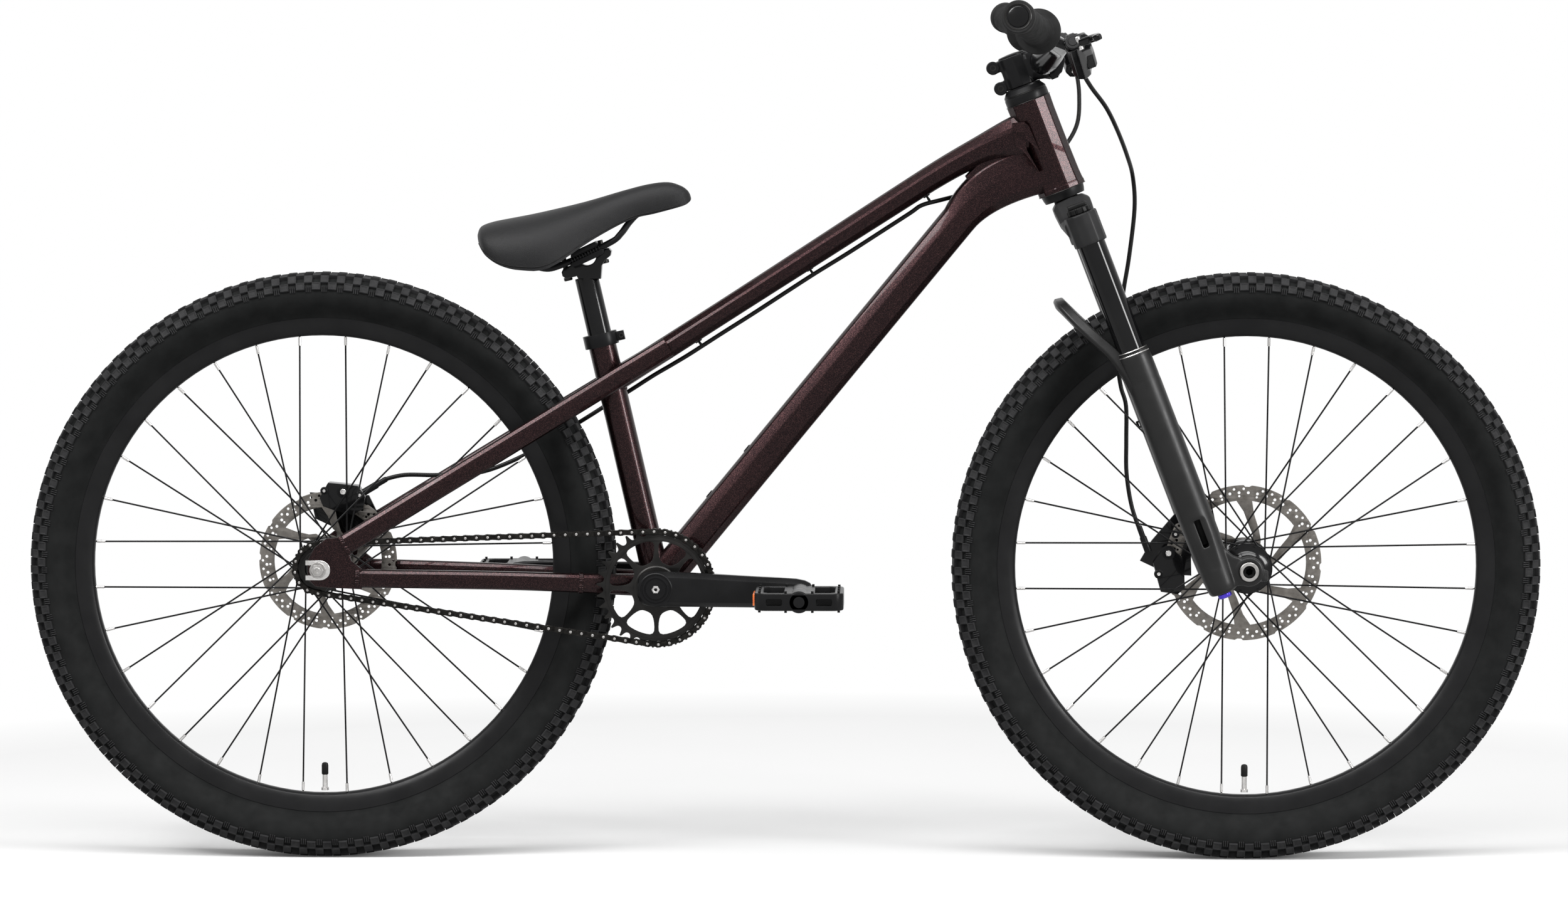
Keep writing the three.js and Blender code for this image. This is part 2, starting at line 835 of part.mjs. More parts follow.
// The right dropout, with its slot open to the rear.
function dropout() {
  const inner = rearHubWidth / 2;
  const body = plate(dropoutOutline(), -inner - dropoutThickness, -inner);
  const half = boreRound(rearAxleRadius, hubSides);
  const slot = [
    ...arc(half, -Math.PI / 2, Math.PI / 2, 1 + hubSides / 2),
    [-dropoutLength, half],
    [-dropoutLength, -half],
  ];
  const mouth = plate(slot, -inner - dropoutThickness - overrun, -inner + overrun);
  return cut(body, mouth).translate(...rearAxle.toArray());
}

function dropoutEnvelope() {
  const inner = rearHubWidth / 2;
  return plate(dropoutOutline(2 * fit), -inner - dropoutThickness - fit, -inner + fit)
    .translate(...rearAxle.toArray());
}

function buildFrame() {
  const head = headTubeEnvelope();
  const seat = seatTubeRod(seatTubeRadius + fit, 0, seatTubeLength + overrun);
  const shell = shellRod(shellRadius + fit, shellWidth / 2 + fit);
  const top = join(topTube(), ...hoseGuides());
  add(steering, 'head_tube', headTube(), finishes.paint);
  add(steering, 'headset_cup_upper', headsetCup(headTop, 1), finishes.satin);
  add(steering, 'headset_cup_lower', headsetCup(0, -1), finishes.satin);
  add(bike, 'top_tube', cut(top, head, seat), finishes.paint);
  add(bike, 'down_tube', cut(downTube(), head, topTube(fit), shell, seat), finishes.paint);
  const outerTube = seatTubeRod(seatTubeRadius, 0, seatTubeLength);
  const bore = seatTubeRod(boreRound(postRadius, tubeSides), -overrun, seatTubeLength + overrun);
  add(bike, 'seat_tube', cut(outerTube, bore, shell), finishes.paint);
  add(bike, 'bottom_bracket_shell', bottomBracketShell(), finishes.paint);
  add(bike, 'bottom_bracket', bottomBracketBearings(), finishes.satin);
  const plateSpace = dropoutEnvelope();
  const lowerStay = cut(chainstay(), shell, plateSpace);
  const upperStay = cut(seatstay(), topTube(fit), seat, plateSpace);
  add(bike, 'chainstay_right', lowerStay, finishes.paint);
  add(bike, 'chainstay_left', mirrored(lowerStay), finishes.paint);
  add(bike, 'seatstay_right', upperStay, finishes.paint);
  add(bike, 'seatstay_left', mirrored(upperStay), finishes.paint);
  add(bike, 'dropout_right', dropout(), finishes.paint);
  add(bike, 'dropout_left', mirrored(dropout()), finishes.paint);
}

// Seat clamp, seatpost and saddle

const collarTurn = new THREE.Matrix4().makeRotationY(-radians(90 - seatAngle));

function seatPlaced(geometry, distance) {
  return geometry.applyMatrix4(collarTurn).translate(...alongSeat(distance).toArray());
}

function seatClamp() {
  const outer = seatTubeRadius + collarWall;
  const low = -collarHeight / 2;
  const ring = turned(rodProfile(outer, low, -low), tubeSides);
  const ear = box([outer + collarEar / 3, 0, 0], [collarEar, collarEar + collarSlot, collarHeight * 0.7]);
  const bore = turned(rodProfile(boreRound(postRadius, tubeSides), low - overrun, overrun - low), tubeSides);
  const seat = turned(rodProfile(boreRound(seatTubeRadius, tubeSides), low - overrun, low / 3), tubeSides);
  const slot = box([outer, 0, 0], [2 * outer, collarSlot, collarHeight + overrun]);
  return seatPlaced(cut(join(ring, ear), bore, seat, slot), seatTubeLength - low / 3 + fit);
}

const postTop = seatTubeLength - postInsertion + postLength;
const tiltAxis = alongSeat(postTop + cradleRadius * 0.8).add(new THREE.Vector3(cradleForward, 0, 0));

function seatpost() {
  const low = seatTubeLength - postInsertion;
  const shaft = seatTubeRod(postRadius, low, postTop);
  const bore = seatTubeRod(postBore, low - overrun, postTop - postRadius);
  const trough = spun(rodProfile(cradleRadius, -cradleWidth / 2, cradleWidth / 2), hubSides)
    .translate(...tiltAxis.toArray());
  const inner = spun(rodProfile(boreRound(clampRadius, hubSides), -clampWidth, clampWidth), hubSides)
    .translate(...tiltAxis.toArray());
  const open = box(
    [tiltAxis.x, 0, tiltAxis.z + cradleRadius * 0.9],
    [cradleRadius * 3, clampWidth, cradleRadius * 2],
  );
  return cut(join(cut(shaft, bore), trough), inner, open);
}

// The rails are one bent rod. From the nose to the tail, and from the tilt axis: shares of the saddle's
// length forward and up, and of the rail spacing.
const railShares = [
  [0.4, 0.26, 0], [0.39, 0.252, 0.16], [0.3, 0.188, 0.38], [0.19, 0.125, 0.49], [0.1, 0.0765, 0.5],
  [-0.1, -0.0165, 0.5], [-0.2, -0.04, 0.56], [-0.29, 0.01, 0.7], [-0.36, 0.14, 0.8],
];

function saddleRails(grow = 0) {
  const right = railShares.map(([x, z, y]) => new THREE.Vector3(
    x * saddleLength,
    -y * railSpacing,
    z * saddleLength,
  ).add(tiltAxis));
  const left = right.slice(1).map((point) => point.clone().setY(-point.y));
  const curve = new THREE.CatmullRomCurve3([...right.reverse(), ...left]);
  return extrudedAlong(curve, circle(railRadius + grow, 6), railSteps);
}

function saddleClamp() {
  const half = clampWidth / 2;
  const barrel = spun(rodProfile(clampRadius, -half, half), hubSides).translate(...tiltAxis.toArray());
  const cap = box(
    [tiltAxis.x, 0, tiltAxis.z + clampRadius * 0.85],
    [clampRadius * 2.6, clampWidth, clampRadius * 0.6],
  ).translate(-tiltAxis.x, 0, -tiltAxis.z).rotateY(-radians(saddlePitch)).translate(tiltAxis.x, 0, tiltAxis.z);
  return cut(join(barrel, cap), saddleRails(fit));
}

// The saddle from tail to nose: shares of its length forward, of its width across, of its rise for
// the top and for the skirt's lower edge.
const saddleShares = [
  [0, 0.5, 0.86, 0.68],
  [0.022, 0.8, 0.96, 0.48],
  [0.08, 0.95, 0.99, 0.26],
  [0.17, 1, 0.98, 0.1],
  [0.3, 0.96, 0.965, 0.03],
  [0.51, 0.6, 0.97, 0.31],
  [0.7, 0.36, 1.01, 0.5],
  [0.82, 0.31, 1.02, 0.51],
  [0.91, 0.28, 0.98, 0.52],
  [0.97, 0.21, 0.84, 0.53],
  [1, 0.1, 0.68, 0.57],
];
const saddleArchShares = [-1, -0.97, -0.72, -0.38, 0, 0.38, 0.72, 0.97, 1];
const saddleFallShares = [1, 0.62, 0.2, 0.045, 0, 0.045, 0.2, 0.62, 1];

function saddleRing([along, across, top, skirt]) {
  const low = skirt * saddleRise;
  const high = top * saddleRise;
  const half = (across * saddleWidth) / 2;
  const wall = Math.min(saddleThickness, (high - low) * 0.55, half * 0.55);
  const outer = saddleArchShares.map((share, i) => [share * half, high - (high - low) * saddleFallShares[i]]);
  const inner = [4, 2, 0, -2, -4].map((step) => {
    const i = 4 - step;
    const [y, z] = [saddleArchShares[i], saddleFallShares[i]];
    const edge = Math.abs(step) === 4;
    return [-y * (half - (edge ? wall / 3 : wall)), high - wall - (high - low - wall) * z];
  });
  return [...outer, ...inner.slice(0, 5)].map(([y, z]) => new THREE.Vector3(along * saddleLength, y, z));
}

function saddle() {
  const rings = saddleShares.map(saddleRing);
  return skin(rings)
    .translate(-saddleBack, 0, 0)
    .rotateY(-radians(saddlePitch))
    .translate(...tiltAxis.toArray());
}

function buildSeat() {
  add(bike, 'seat_clamp', seatClamp(), finishes.gloss);
  add(bike, 'seatpost', seatpost(), finishes.gloss);
  add(bike, 'saddle_clamp', saddleClamp(), finishes.gloss);
  add(bike, 'saddle_rails', saddleRails(), finishes.gloss);
  add(bike, 'saddle', cut(saddle(), saddleRails(fit)), finishes.cover);
}

// Wheels, each built about its own axle at the origin

// One turn of the wheel is divided so that a flat facet of the tread lies exactly on the ground.
function wheelAngle(column) {
  const columns = wheelSides * treadColumns;
  return 2 * Math.PI * (bottomShare + (column + 0.5) / columns);
}

function wheelPoint(radius, y, column) {
  const angle = wheelAngle(column);
  return [radius * Math.cos(angle), y, radius * Math.sin(angle)];
}

// The tyre is a closed loop of rings: its wall in few columns, and its tread in more, whose shoulder
// knobs stand up and drop back in turn.
function tyre() {
  const columns = wheelSides * treadColumns;
  const positions = [];
  const index = [];
  const half = tyreWidth / 2;
  const bead = rimOuterRadius + fit;
  const belly = bead + (tyreRadius - bead) * bellyShare;
  function ring(count, y, radiusAt) {
    const start = positions.length / 3;
    for (let i = 0; i < count; i += 1) {
      positions.push(...wheelPoint(radiusAt(i), y, (i * columns) / count));
    }
    return { start, count };
  }
  const coarse = (radius, y) => ring(wheelSides, y, () => radius);
  const side = (way) => [
    coarse(belly, way * (half - tyreWall)),
    coarse(bead, way * (rimWidth / 2 - tyreWall)),
    coarse(bead, way * (rimWidth / 2 - fit)),
    coarse(belly, way * half),
    ring(columns, way * treadHalfWidth, (i) => tyreRadius - (i % 2 ? 1 : 2) * knobDepth),
    ring(columns, way * treadCrownHalfWidth, () => tyreRadius),
  ];
  const crown = coarse(tyreRadius - 2 * knobDepth - tyreWall, 0);
  const rings = [crown, ...side(1), ...side(-1).reverse()];
  rings.forEach((ringA, place) => {
    const ringB = rings[(place + 1) % rings.length];
    const [few, many] = ringA.count > ringB.count ? [ringB, ringA] : [ringA, ringB];
    const split = many.count / few.count;
    const face = (a, b, c) => index.push(...(few === ringA ? [a, b, c] : [a, c, b]));
    for (let i = 0; i < few.count; i += 1) {
      const at = (step) => many.start + ((i * split + step) % many.count);
      for (let step = 0; step < split; step += 1) face(few.start + i, at(step + 1), at(step));
      face(few.start + i, few.start + ((i + 1) % few.count), at(split));
    }
  });
  const geometry = new THREE.BufferGeometry();
  geometry.setAttribute('position', new THREE.Float32BufferAttribute(positions, 3));
  geometry.setIndex(index);
  return closed(geometry);
}

function rim() {
  const profile = [
    [rimInnerRadius, -rimBedWidth / 2],
    [rimInnerRadius, rimBedWidth / 2],
    [rimOuterRadius, rimWidth / 2],
    [rimOuterRadius - rimChannelDepth, rimWidth / 2 - rimLip],
    [rimOuterRadius - rimChannelDepth, -rimWidth / 2 + rimLip],
    [rimOuterRadius, -rimWidth / 2],
    [rimInnerRadius, -rimBedWidth / 2],
  ];
  return spun(profile, wheelSides).rotateY(Math.PI / 2 - wheelAngle(0));
}

// Each flange's spokes leave its edge near one face and the other in turn, and lean forward or back so
// that each crosses three of its neighbours with a clearance.
function spokes(flangeCentre) {
  const perFlange = spokeCount / 2;
  const holeRadius = flangeRadius - flangeHoleInset;
  const lean = (2 * Math.PI * spokeCrossShare) / perFlange;
  const reach = rimInnerRadius * Math.cos(Math.PI / wheelSides) - fit;
  const apart = flangeThickness / 2 - spokeRadius / 2 - fit;
  return Array.from({ length: spokeCount }, (_, i) => {
    const side = i % 2 ? 1 : -1;
    const way = Math.floor(i / 2) % 2 ? 1 : -1;
    const rimAngle = 2 * Math.PI * (bottomShare + (i + 0.5) / spokeCount);
    const hubAngle = rimAngle + way * lean;
    const hubY = flangeCentre[side > 0 ? 1 : 0] + way * apart;
    const rimY = side * spokeRimOffset + way * apart;
    const hub = new THREE.Vector3(holeRadius * Math.cos(hubAngle), hubY, holeRadius * Math.sin(hubAngle));
    const end = new THREE.Vector3(reach * Math.cos(rimAngle), rimY, reach * Math.sin(rimAngle));
    return rod(hub, end, spokeRadius, spokeSides);
  });
}

// A hub's shell with its two flanges and the seat that the rotor is bolted to.
function hubShell(bore, shellRadius, rightEnd, rotorPlane, leftEnd) {
  const half = flangeThickness / 2;
  const rotorSeat = rotorPlane - rotorThickness / 2 - fit;
  const rotorFar = rotorPlane + rotorThickness / 2 + fit;
  return spun([
    [bore, -rightEnd.at],
    [rightEnd.radius, -rightEnd.at],
    [rightEnd.radius, -rightEnd.shoulder],
    [shellRadius, -rightEnd.shoulder],
    [flangeRadius, -flangeHalfSpacing - half],
    [flangeRadius, -flangeHalfSpacing + half],
    [shellRadius, -flangeHalfSpacing + 2 * flangeThickness],
    [shellRadius, leftEnd.flange - 2 * flangeThickness],
    [flangeRadius, leftEnd.flange - half],
    [flangeRadius, leftEnd.flange + half],
    [rotorHubRadius - fit, rotorSeat],
    [rotorBoreRadius - fit, rotorSeat],
    [rotorBoreRadius - fit, rotorFar],
    [leftEnd.radius, leftEnd.at],
    [bore, leftEnd.at],
    [bore, -rightEnd.at],
  ], hubSides);
}

const frontRotorPlane = frontHubWidth / 2 - frontRotorInset;
const rearRotorPlane = rearHubWidth / 2 - rearRotorInset;

function frontHub() {
  const end = frontHubWidth / 2 - fit;
  const bore = boreRound(frontAxleRadius, hubSides);
  const flange = flangeHalfSpacing - flangeThickness;
  const right = { at: end, radius: frontHubEndRadius, shoulder: flangeHalfSpacing + 2 * flangeThickness };
  const left = { at: end, radius: frontHubEndRadius, flange };
  const shell = hubShell(bore, frontHubShellRadius, right, frontRotorPlane, left);
  return join(shell, ...spokes([-flangeHalfSpacing, flange]));
}

function rearHub() {
  const bore = boreRound(rearAxleRadius, hubSides);
  const shoulder = chainLine - cogBodyWidth / 2 - fit;
  const right = { at: chainLine + cogBodyWidth / 3, radius: rearHubThreadRadius, shoulder };
  const left = {
    at: rearRotorPlane + rotorThickness,
    radius: rotorBoreRadius - flangeThickness,
    flange: flangeHalfSpacing,
  };
  const shell = hubShell(bore, rearHubShellRadius + flangeThickness, right, rearRotorPlane, left);
  return join(shell, ...spokes([-flangeHalfSpacing, flangeHalfSpacing]));
}

// A brake rotor with a waved edge, a narrow track and swept arms.
function rotor(radius) {
  const track = radius - rotorTrack;
  const turn = (2 * Math.PI) / rotorArms;
  const outline = Array.from({ length: 4 * rotorArms }, (_, i) => {
    const reach = radius - (i % 2 ? rotorWave : 0);
    const angle = (i * turn) / 4;
    return [reach * Math.cos(angle), reach * Math.sin(angle)];
  });
  const windows = Array.from({ length: rotorArms }, (_, i) => {
    const start = i * turn;
    const outerHalf = turn / 2 - rotorArmWidth / 2 / track;
    const innerHalf = turn / 2 - rotorArmWidth / 2 / rotorHubRadius;
    const sweep = rotorSweepShare * turn;
    return [
      ...arc(track, start - outerHalf, start + outerHalf, 3),
      ...arc(rotorHubRadius, start - sweep + innerHalf, start - sweep - innerHalf, 2),
    ];
  });
  const bore = circle(rotorBoreRadius, hubSides);
  return plate(outline, -rotorThickness / 2, rotorThickness / 2, [...windows, bore]);
}

// The valve stands up from the rim at the bottom of the wheel.
function valve() {
  const root = rimInnerRadius * Math.cos(Math.PI / wheelSides) - fit;
  const stem = turned([
    [0, -root],
    [valveRadius, -root],
    [valveRadius, valveLength - valveCapLength - root],
    [valveCapRadius, valveLength - valveCapLength - root],
    [valveCapRadius * 0.8, valveLength - root],
    [0, valveLength - root],
  ], 8);
  return stem;
}

function buildWheel(name, centre, hub, rotorRadius, rotorY) {
  const wheel = new THREE.Group();
  wheel.position.copy(centre);
  bike.add(wheel);
  add(wheel, `${name}_tyre`, tyre(), finishes.rubber);
  add(wheel, `${name}_rim`, rim(), finishes.satin);
  add(wheel, `${name}_hub`, hub, finishes.gloss);
  add(wheel, `${name}_rotor`, rotor(rotorRadius), finishes.steel).position.y = rotorY;
  add(wheel, `${name}_valve`, valve(), finishes.steel);
}

function rearAxleAssembly() {
  const inner = rearHubWidth / 2;
  const outer = inner + dropoutThickness;
  const hubRight = chainLine + cogBodyWidth / 2 + fit;
  const hubLeft = rearRotorPlane + rotorThickness + fit;
  const washer = outer + fit + washerThickness;
  const nut = washer + axleNutLength;
  const tip = nut + washerThickness;
  const spacer = (rotorBoreRadius + rearAxleRadius) / 2;
  return spun([
    [0, -tip],
    [rearAxleRadius, -tip],
    [rearAxleRadius, -nut],
    [axleNutRadius, -nut],
    [axleNutRadius, -washer],
    [washerRadius, -washer],
    [washerRadius, -outer - fit],
    [rearAxleRadius, -outer - fit],
    [rearAxleRadius, -inner + fit],
    [spacer, -inner + fit],
    [spacer, -hubRight],
    [rearAxleRadius, -hubRight],
    [rearAxleRadius, hubLeft],
    [spacer, hubLeft],
    [spacer, inner - fit],
    [rearAxleRadius, inner - fit],
    [rearAxleRadius, outer + fit],
    [washerRadius, outer + fit],
    [washerRadius, washer],
    [axleNutRadius, washer],
    [axleNutRadius, nut],
    [rearAxleRadius, nut],
    [rearAxleRadius, tip],
    [0, tip],
  ], smallSides).translate(...rearAxle.toArray());
}

// Drive

// A sprocket's outline: in each pitch a valley that a roller drops into, and a tooth.
function sprocketOutline(teeth, phase) {
  const radius = pitchRadius(teeth);
  const root = radius - rollerRadius - fit;
  const tip = radius + toothHeight;
  const pitchAngle = (2 * Math.PI) / teeth;
  const rootHalf = (pitchAngle * (1 - toothRootWidth / chainPitch)) / 2;
  const tipHalf = (pitchAngle * (1 - toothTipWidth / chainPitch)) / 2;
  return Array.from({ length: teeth }, (_, i) => {
    const valley = phase + i * pitchAngle;
    return [[root, -rootHalf], [root, rootHalf], [tip, tipHalf], [tip, pitchAngle - tipHalf]]
      .map(([reach, offset]) => [reach * Math.cos(valley + offset), reach * Math.sin(valley + offset)]);
  }).flat();
}

// Where the chain is after a number of links, seen in the X and Z directions from the crank's centre.
const spans = chainSpans(chainstayLength);
const toCog = rearAxle.clone().sub(bottomBracket);
const chainHeading = Math.atan2(toCog.z, toCog.x);

function chainPoint(link) {
  const topAngle = chainHeading - Math.PI / 2 + spans.tilt;
  const lowAngle = chainHeading + Math.PI / 2 - spans.tilt;
  const onRing = (angle) => new THREE.Vector2(Math.cos(angle), Math.sin(angle)).multiplyScalar(chainringRadius);
  const onCog = (angle) => new THREE.Vector2(toCog.x, toCog.z)
    .add(new THREE.Vector2(Math.cos(angle), Math.sin(angle)).multiplyScalar(cogRadius));
  let rest = link;
  if (rest < spans.run) return onRing(topAngle).lerp(onCog(topAngle), rest / spans.run);
  rest -= spans.run;
  if (rest < spans.cogWrap) return onCog(topAngle + (2 * Math.PI * rest) / cogTeeth);
  rest -= spans.cogWrap;
  if (rest < spans.run) return onCog(lowAngle).lerp(onRing(lowAngle), rest / spans.run);
  rest -= spans.run;
  return onRing(lowAngle + (2 * Math.PI * rest) / chainringTeeth);
}

// The angle of one roller that lies on each sprocket, to which its valleys are turned.
function valleyAngle(firstLink, centre) {
  const roller = chainPoint(Math.ceil(firstLink) + 1).sub(centre);
  return Math.atan2(roller.y, roller.x);
}

const cogValley = valleyAngle(spans.run, new THREE.Vector2(toCog.x, toCog.z));
const ringValley = valleyAngle(2 * spans.run + spans.cogWrap, new THREE.Vector2());

// The chain is one loop of links. Each pair of side plates swells round its rollers, and the plates of
// every other link lie outside their neighbours'. A section across the chain is taken before, at and after
// each roller: four corners on each side, and a roller's walls join the two sides.
function chain() {
  const innerFace = rollerWidth / 2 + fit;
  const step = linkPlateThickness + fit / 5;
  const rollers = Array.from({ length: chainLinks }, (_, link) => chainPoint(link));
  const ahead = rollers.map((point, i) => rollers[(i + 1) % chainLinks].clone().sub(point).normalize());
  const positions = [];
  const index = [];
  function section(point, direction, half, low, high) {
    const up = new THREE.Vector2(-direction.y, direction.x);
    for (const y of [-high, -low, low, high]) {
      for (const side of [half, -half]) {
        positions.push(point.x + up.x * side, y, point.y + up.y * side);
      }
    }
  }
  rollers.forEach((point, i) => {
    const before = ahead[(i + chainLinks - 1) % chainLinks];
    const after = ahead[i];
    const across = before.clone().add(after).normalize();
    const reach = rollerRadius * rollerReachShare;
    const outside = i % 2 ? step : 0;
    const inside = step - outside;
    const plate = (offset) => [innerFace + offset, innerFace + offset + linkPlateThickness];
    section(point.clone().addScaledVector(before, -reach), before, linkPlateNeck / 2, ...plate(inside));
    section(point, across, linkPlateHeight / 2, innerFace, innerFace + step + linkPlateThickness);
    section(point.clone().addScaledVector(after, reach), after, linkPlateNeck / 2, ...plate(outside));
  });
  const rows = 3 * chainLinks;
  const quad = (a, b, c, d) => index.push(a, b, c, a, c, d);
  const corner = (row, place) => (row % rows) * 8 + place;
  for (let row = 0; row < rows; row += 1) {
    const next = row + 1;
    const free = row % 3 === 2;
    for (const [a, b] of [[0, 1], [1, 3], [2, 0], [3, 2], [4, 5], [5, 7], [6, 4], [7, 6]]) {
      const facesRoller = (a === 3 && b === 2) || (a === 4 && b === 5);
      if (free || !facesRoller) quad(corner(row, a), corner(next, a), corner(next, b), corner(row, b));
    }
    if (!free) {
      quad(corner(row, 4), corner(next, 4), corner(next, 2), corner(row, 2));
      quad(corner(row, 3), corner(next, 3), corner(next, 5), corner(row, 5));
    }
    if (row % 3 === 0) quad(corner(row, 2), corner(row, 3), corner(row, 5), corner(row, 4));
    if (free) quad(corner(row, 4), corner(row, 5), corner(row, 3), corner(row, 2));
  }
  const geometry = new THREE.BufferGeometry();
  geometry.setAttribute('position', new THREE.Float32BufferAttribute(positions, 3));
  geometry.setIndex(index);
  return closed(geometry).translate(bottomBracket.x, -chainLine, bottomBracket.z);
}

// The freewheel: a body that turns on the hub's thread, with one sprocket.
function freewheelCog() {
  const bore = boreRound(rearHubThreadRadius, hubSides);
  const half = cogBodyWidth / 2;
  const teeth = plate(
    sprocketOutline(cogTeeth, cogValley),
    -toothThickness / 2,
    toothThickness / 2,
    [circle(cogBodyRadius - fit, hubSides)],
  );
  const body = spun(ringProfile(bore, cogBodyRadius, -half, half), hubSides);
  return join(teeth, body).translate(rearAxle.x, -chainLine, rearAxle.z);
}

function chainring() {
  const turn = (2 * Math.PI) / chainringWindows;
  const windows = Array.from({ length: chainringWindows }, (_, i) => {
    const middle = (i + 0.5) * turn;
    const outerHalf = turn / 2 - chainringArmWidth / 2 / chainringWebRadius;
    const innerHalf = turn / 2 - chainringArmWidth / chainringHubRadius;
    return [
      ...arc(chainringWebRadius, middle - outerHalf, middle + outerHalf, 3),
      ...arc(chainringHubRadius, middle + innerHalf, middle - innerHalf, 2),
    ];
  });
  const bore = circle(boreRound(spindleRadius, hubSides), hubSides);
  const outline = sprocketOutline(chainringTeeth, ringValley + radians(crankAngle));
  return plate(outline, -toothThickness / 2, toothThickness / 2, [...windows, bore]);
}

// A crank arm along +X on the right side: a bevelled bar that leans out towards the pedal.
// Shares of the crank's length, of its height from hub to tip, and of its lean outwards.
const crankShares = [
  [-0.125, 0.5, 0], [-0.09, 0.86, 0], [0, 1, 0], [0.3, 1, 0.12], [0.7, 1, 0.75], [1, 1, 1], [1.08, 0.62, 1],
];

function crankArm() {
  const rings = crankShares.map(([along, tall, lean]) => {
    const share = THREE.MathUtils.clamp(along, 0, 1);
    const half = (tall * THREE.MathUtils.lerp(crankHubHeight, crankTipHeight, share)) / 2;
    const inner = THREE.MathUtils.lerp(crankHubInner, crankTipInner, lean);
    const outer = THREE.MathUtils.lerp(crankHubOuter, crankTipOuter, lean);
    const x = along * crankLength;
    return [
      [-inner, -half], [-inner, half], [-outer + crankEdge, half],
      [-outer, half - crankEdge], [-outer, -half + crankEdge], [-outer + crankEdge, -half],
    ].map(([y, z]) => new THREE.Vector3(x, y, z));
  });
  const pedalHole = spun(
    rodProfile(boreRound(pedalAxleRadius, hubSides), -crankTipOuter - overrun, -crankTipInner + overrun),
    hubSides,
  ).translate(crankLength, 0, 0);
  return cut(skin(rings), pedalHole);
}

function leftCrankArm() {
  const hole = spun(
    rodProfile(boreRound(spindleRadius, hubSides), -crankHubOuter - overrun, -crankHubInner + overrun),
    hubSides,
  );
  return cut(crankArm(), hole).rotateZ(Math.PI);
}

// The right arm carries the spindle, whose far end the left arm sits on.
function crankArmWithSpindle() {
  const tip = crankHubOuter - spindleCapHeight;
  const spindle = spun([
    [0, -crankHubOuter - spindleCapHeight],
    [spindleCapRadius, -crankHubOuter - spindleCapHeight],
    [spindleCapRadius, -crankHubOuter + overrun],
    [spindleRadius, -crankHubOuter + overrun],
    [spindleRadius, tip],
    [spindleCapRadius, tip],
    [spindleCapRadius, crankHubOuter + spindleCapHeight],
    [0, crankHubOuter + spindleCapHeight],
  ], hubSides);
  return join(crankArm(), spindle);
}

const pedalInner = crankTipOuter + 2 * fit + pedalFlangeLength;
const pedalMiddle = pedalInner + pedalWidth / 2;

function pedalAxle(side) {
  const flangeLow = crankTipOuter + fit;
  const profile = [
    [0, crankTipInner], [pedalAxleRadius, crankTipInner], [pedalAxleRadius, flangeLow],
    [pedalFlangeRadius, flangeLow], [pedalFlangeRadius, flangeLow + pedalFlangeLength],
    [pedalAxleRadius, flangeLow + pedalFlangeLength], [pedalAxleRadius, pedalMiddle + pedalWidth / 3],
    [0, pedalMiddle + pedalWidth / 3],
  ].map(([radius, y]) => [radius, side * y]);
  return spun(profile, smallSides).translate(-side * crankLength, 0, 0);
}

// A platform pedal about its own axle: an open cage round a barrel, with slots in its end plates.
function pedal(side) {
  const half = pedalThickness / 2;
  const windowFrom = pedalBarrelRadius + pedalRib / 2;
  const windowTo = pedalLength / 2 - pedalFrame;
  const middle = (windowFrom + windowTo) / 2;
  const cage = slab(roundedBox(pedalLength, pedalWidth, pedalCorner), -half * 0.82, half * 0.82);
  const barrel = spun(rodProfile(pedalBarrelRadius, -pedalWidth / 2, pedalWidth / 2), hubSides);
  const windows = [-1, 1].flatMap((way) => [
    box([way * middle, 0, 0], [windowTo - windowFrom, pedalWidth - 2 * pedalFrame, pedalThickness]),
    box([way * middle, 0, 0], [windowTo - windowFrom - pedalRib, pedalWidth + overrun, pedalSlotHeight]),
  ]);
  const hole = spun(
    rodProfile(boreRound(pedalAxleRadius, hubSides), -pedalWidth / 2 - overrun, pedalWidth / 3 + fit),
    hubSides,
  ).scale(1, side, 1);
  return cut(join(cage, barrel), hole, ...windows);
}

function buildDrive() {
  add(bike, 'rear_axle', rearAxleAssembly(), finishes.steel);
  add(bike, 'chain', chain(), finishes.chain);
  add(bike, 'freewheel_cog', freewheelCog(), finishes.chain);
  const crank = new THREE.Group();
  crank.position.copy(bottomBracket);
  crank.rotation.y = radians(crankAngle);
  bike.add(crank);
  add(crank, 'chainring', chainring(), finishes.satin).position.y = -chainLine;
  add(crank, 'crank_arm_right', crankArmWithSpindle(), finishes.satin);
  add(crank, 'crank_arm_left', leftCrankArm(), finishes.satin);
  add(crank, 'pedal_axle_right', pedalAxle(-1), finishes.steel);
  add(crank, 'pedal_axle_left', pedalAxle(1), finishes.steel);
  for (const [name, side] of [['pedal_right', -1], ['pedal_left', 1]]) {
    const mesh = add(crank, name, pedal(side), finishes.satin);
    mesh.position.set(-side * crankLength, side * pedalMiddle, 0);
    mesh.rotation.y = -radians(crankAngle);
  }
}

// Fork, in the steering axis's own frame

const legX = legForward;
const legY = legSpacing / 2;
const crownTop = cupBottom - fit;

function legRod(radius, low, high) {
  return turned(rodProfile(radius, -low, -high), tubeSides).translate(legX, -legY, 0);
}

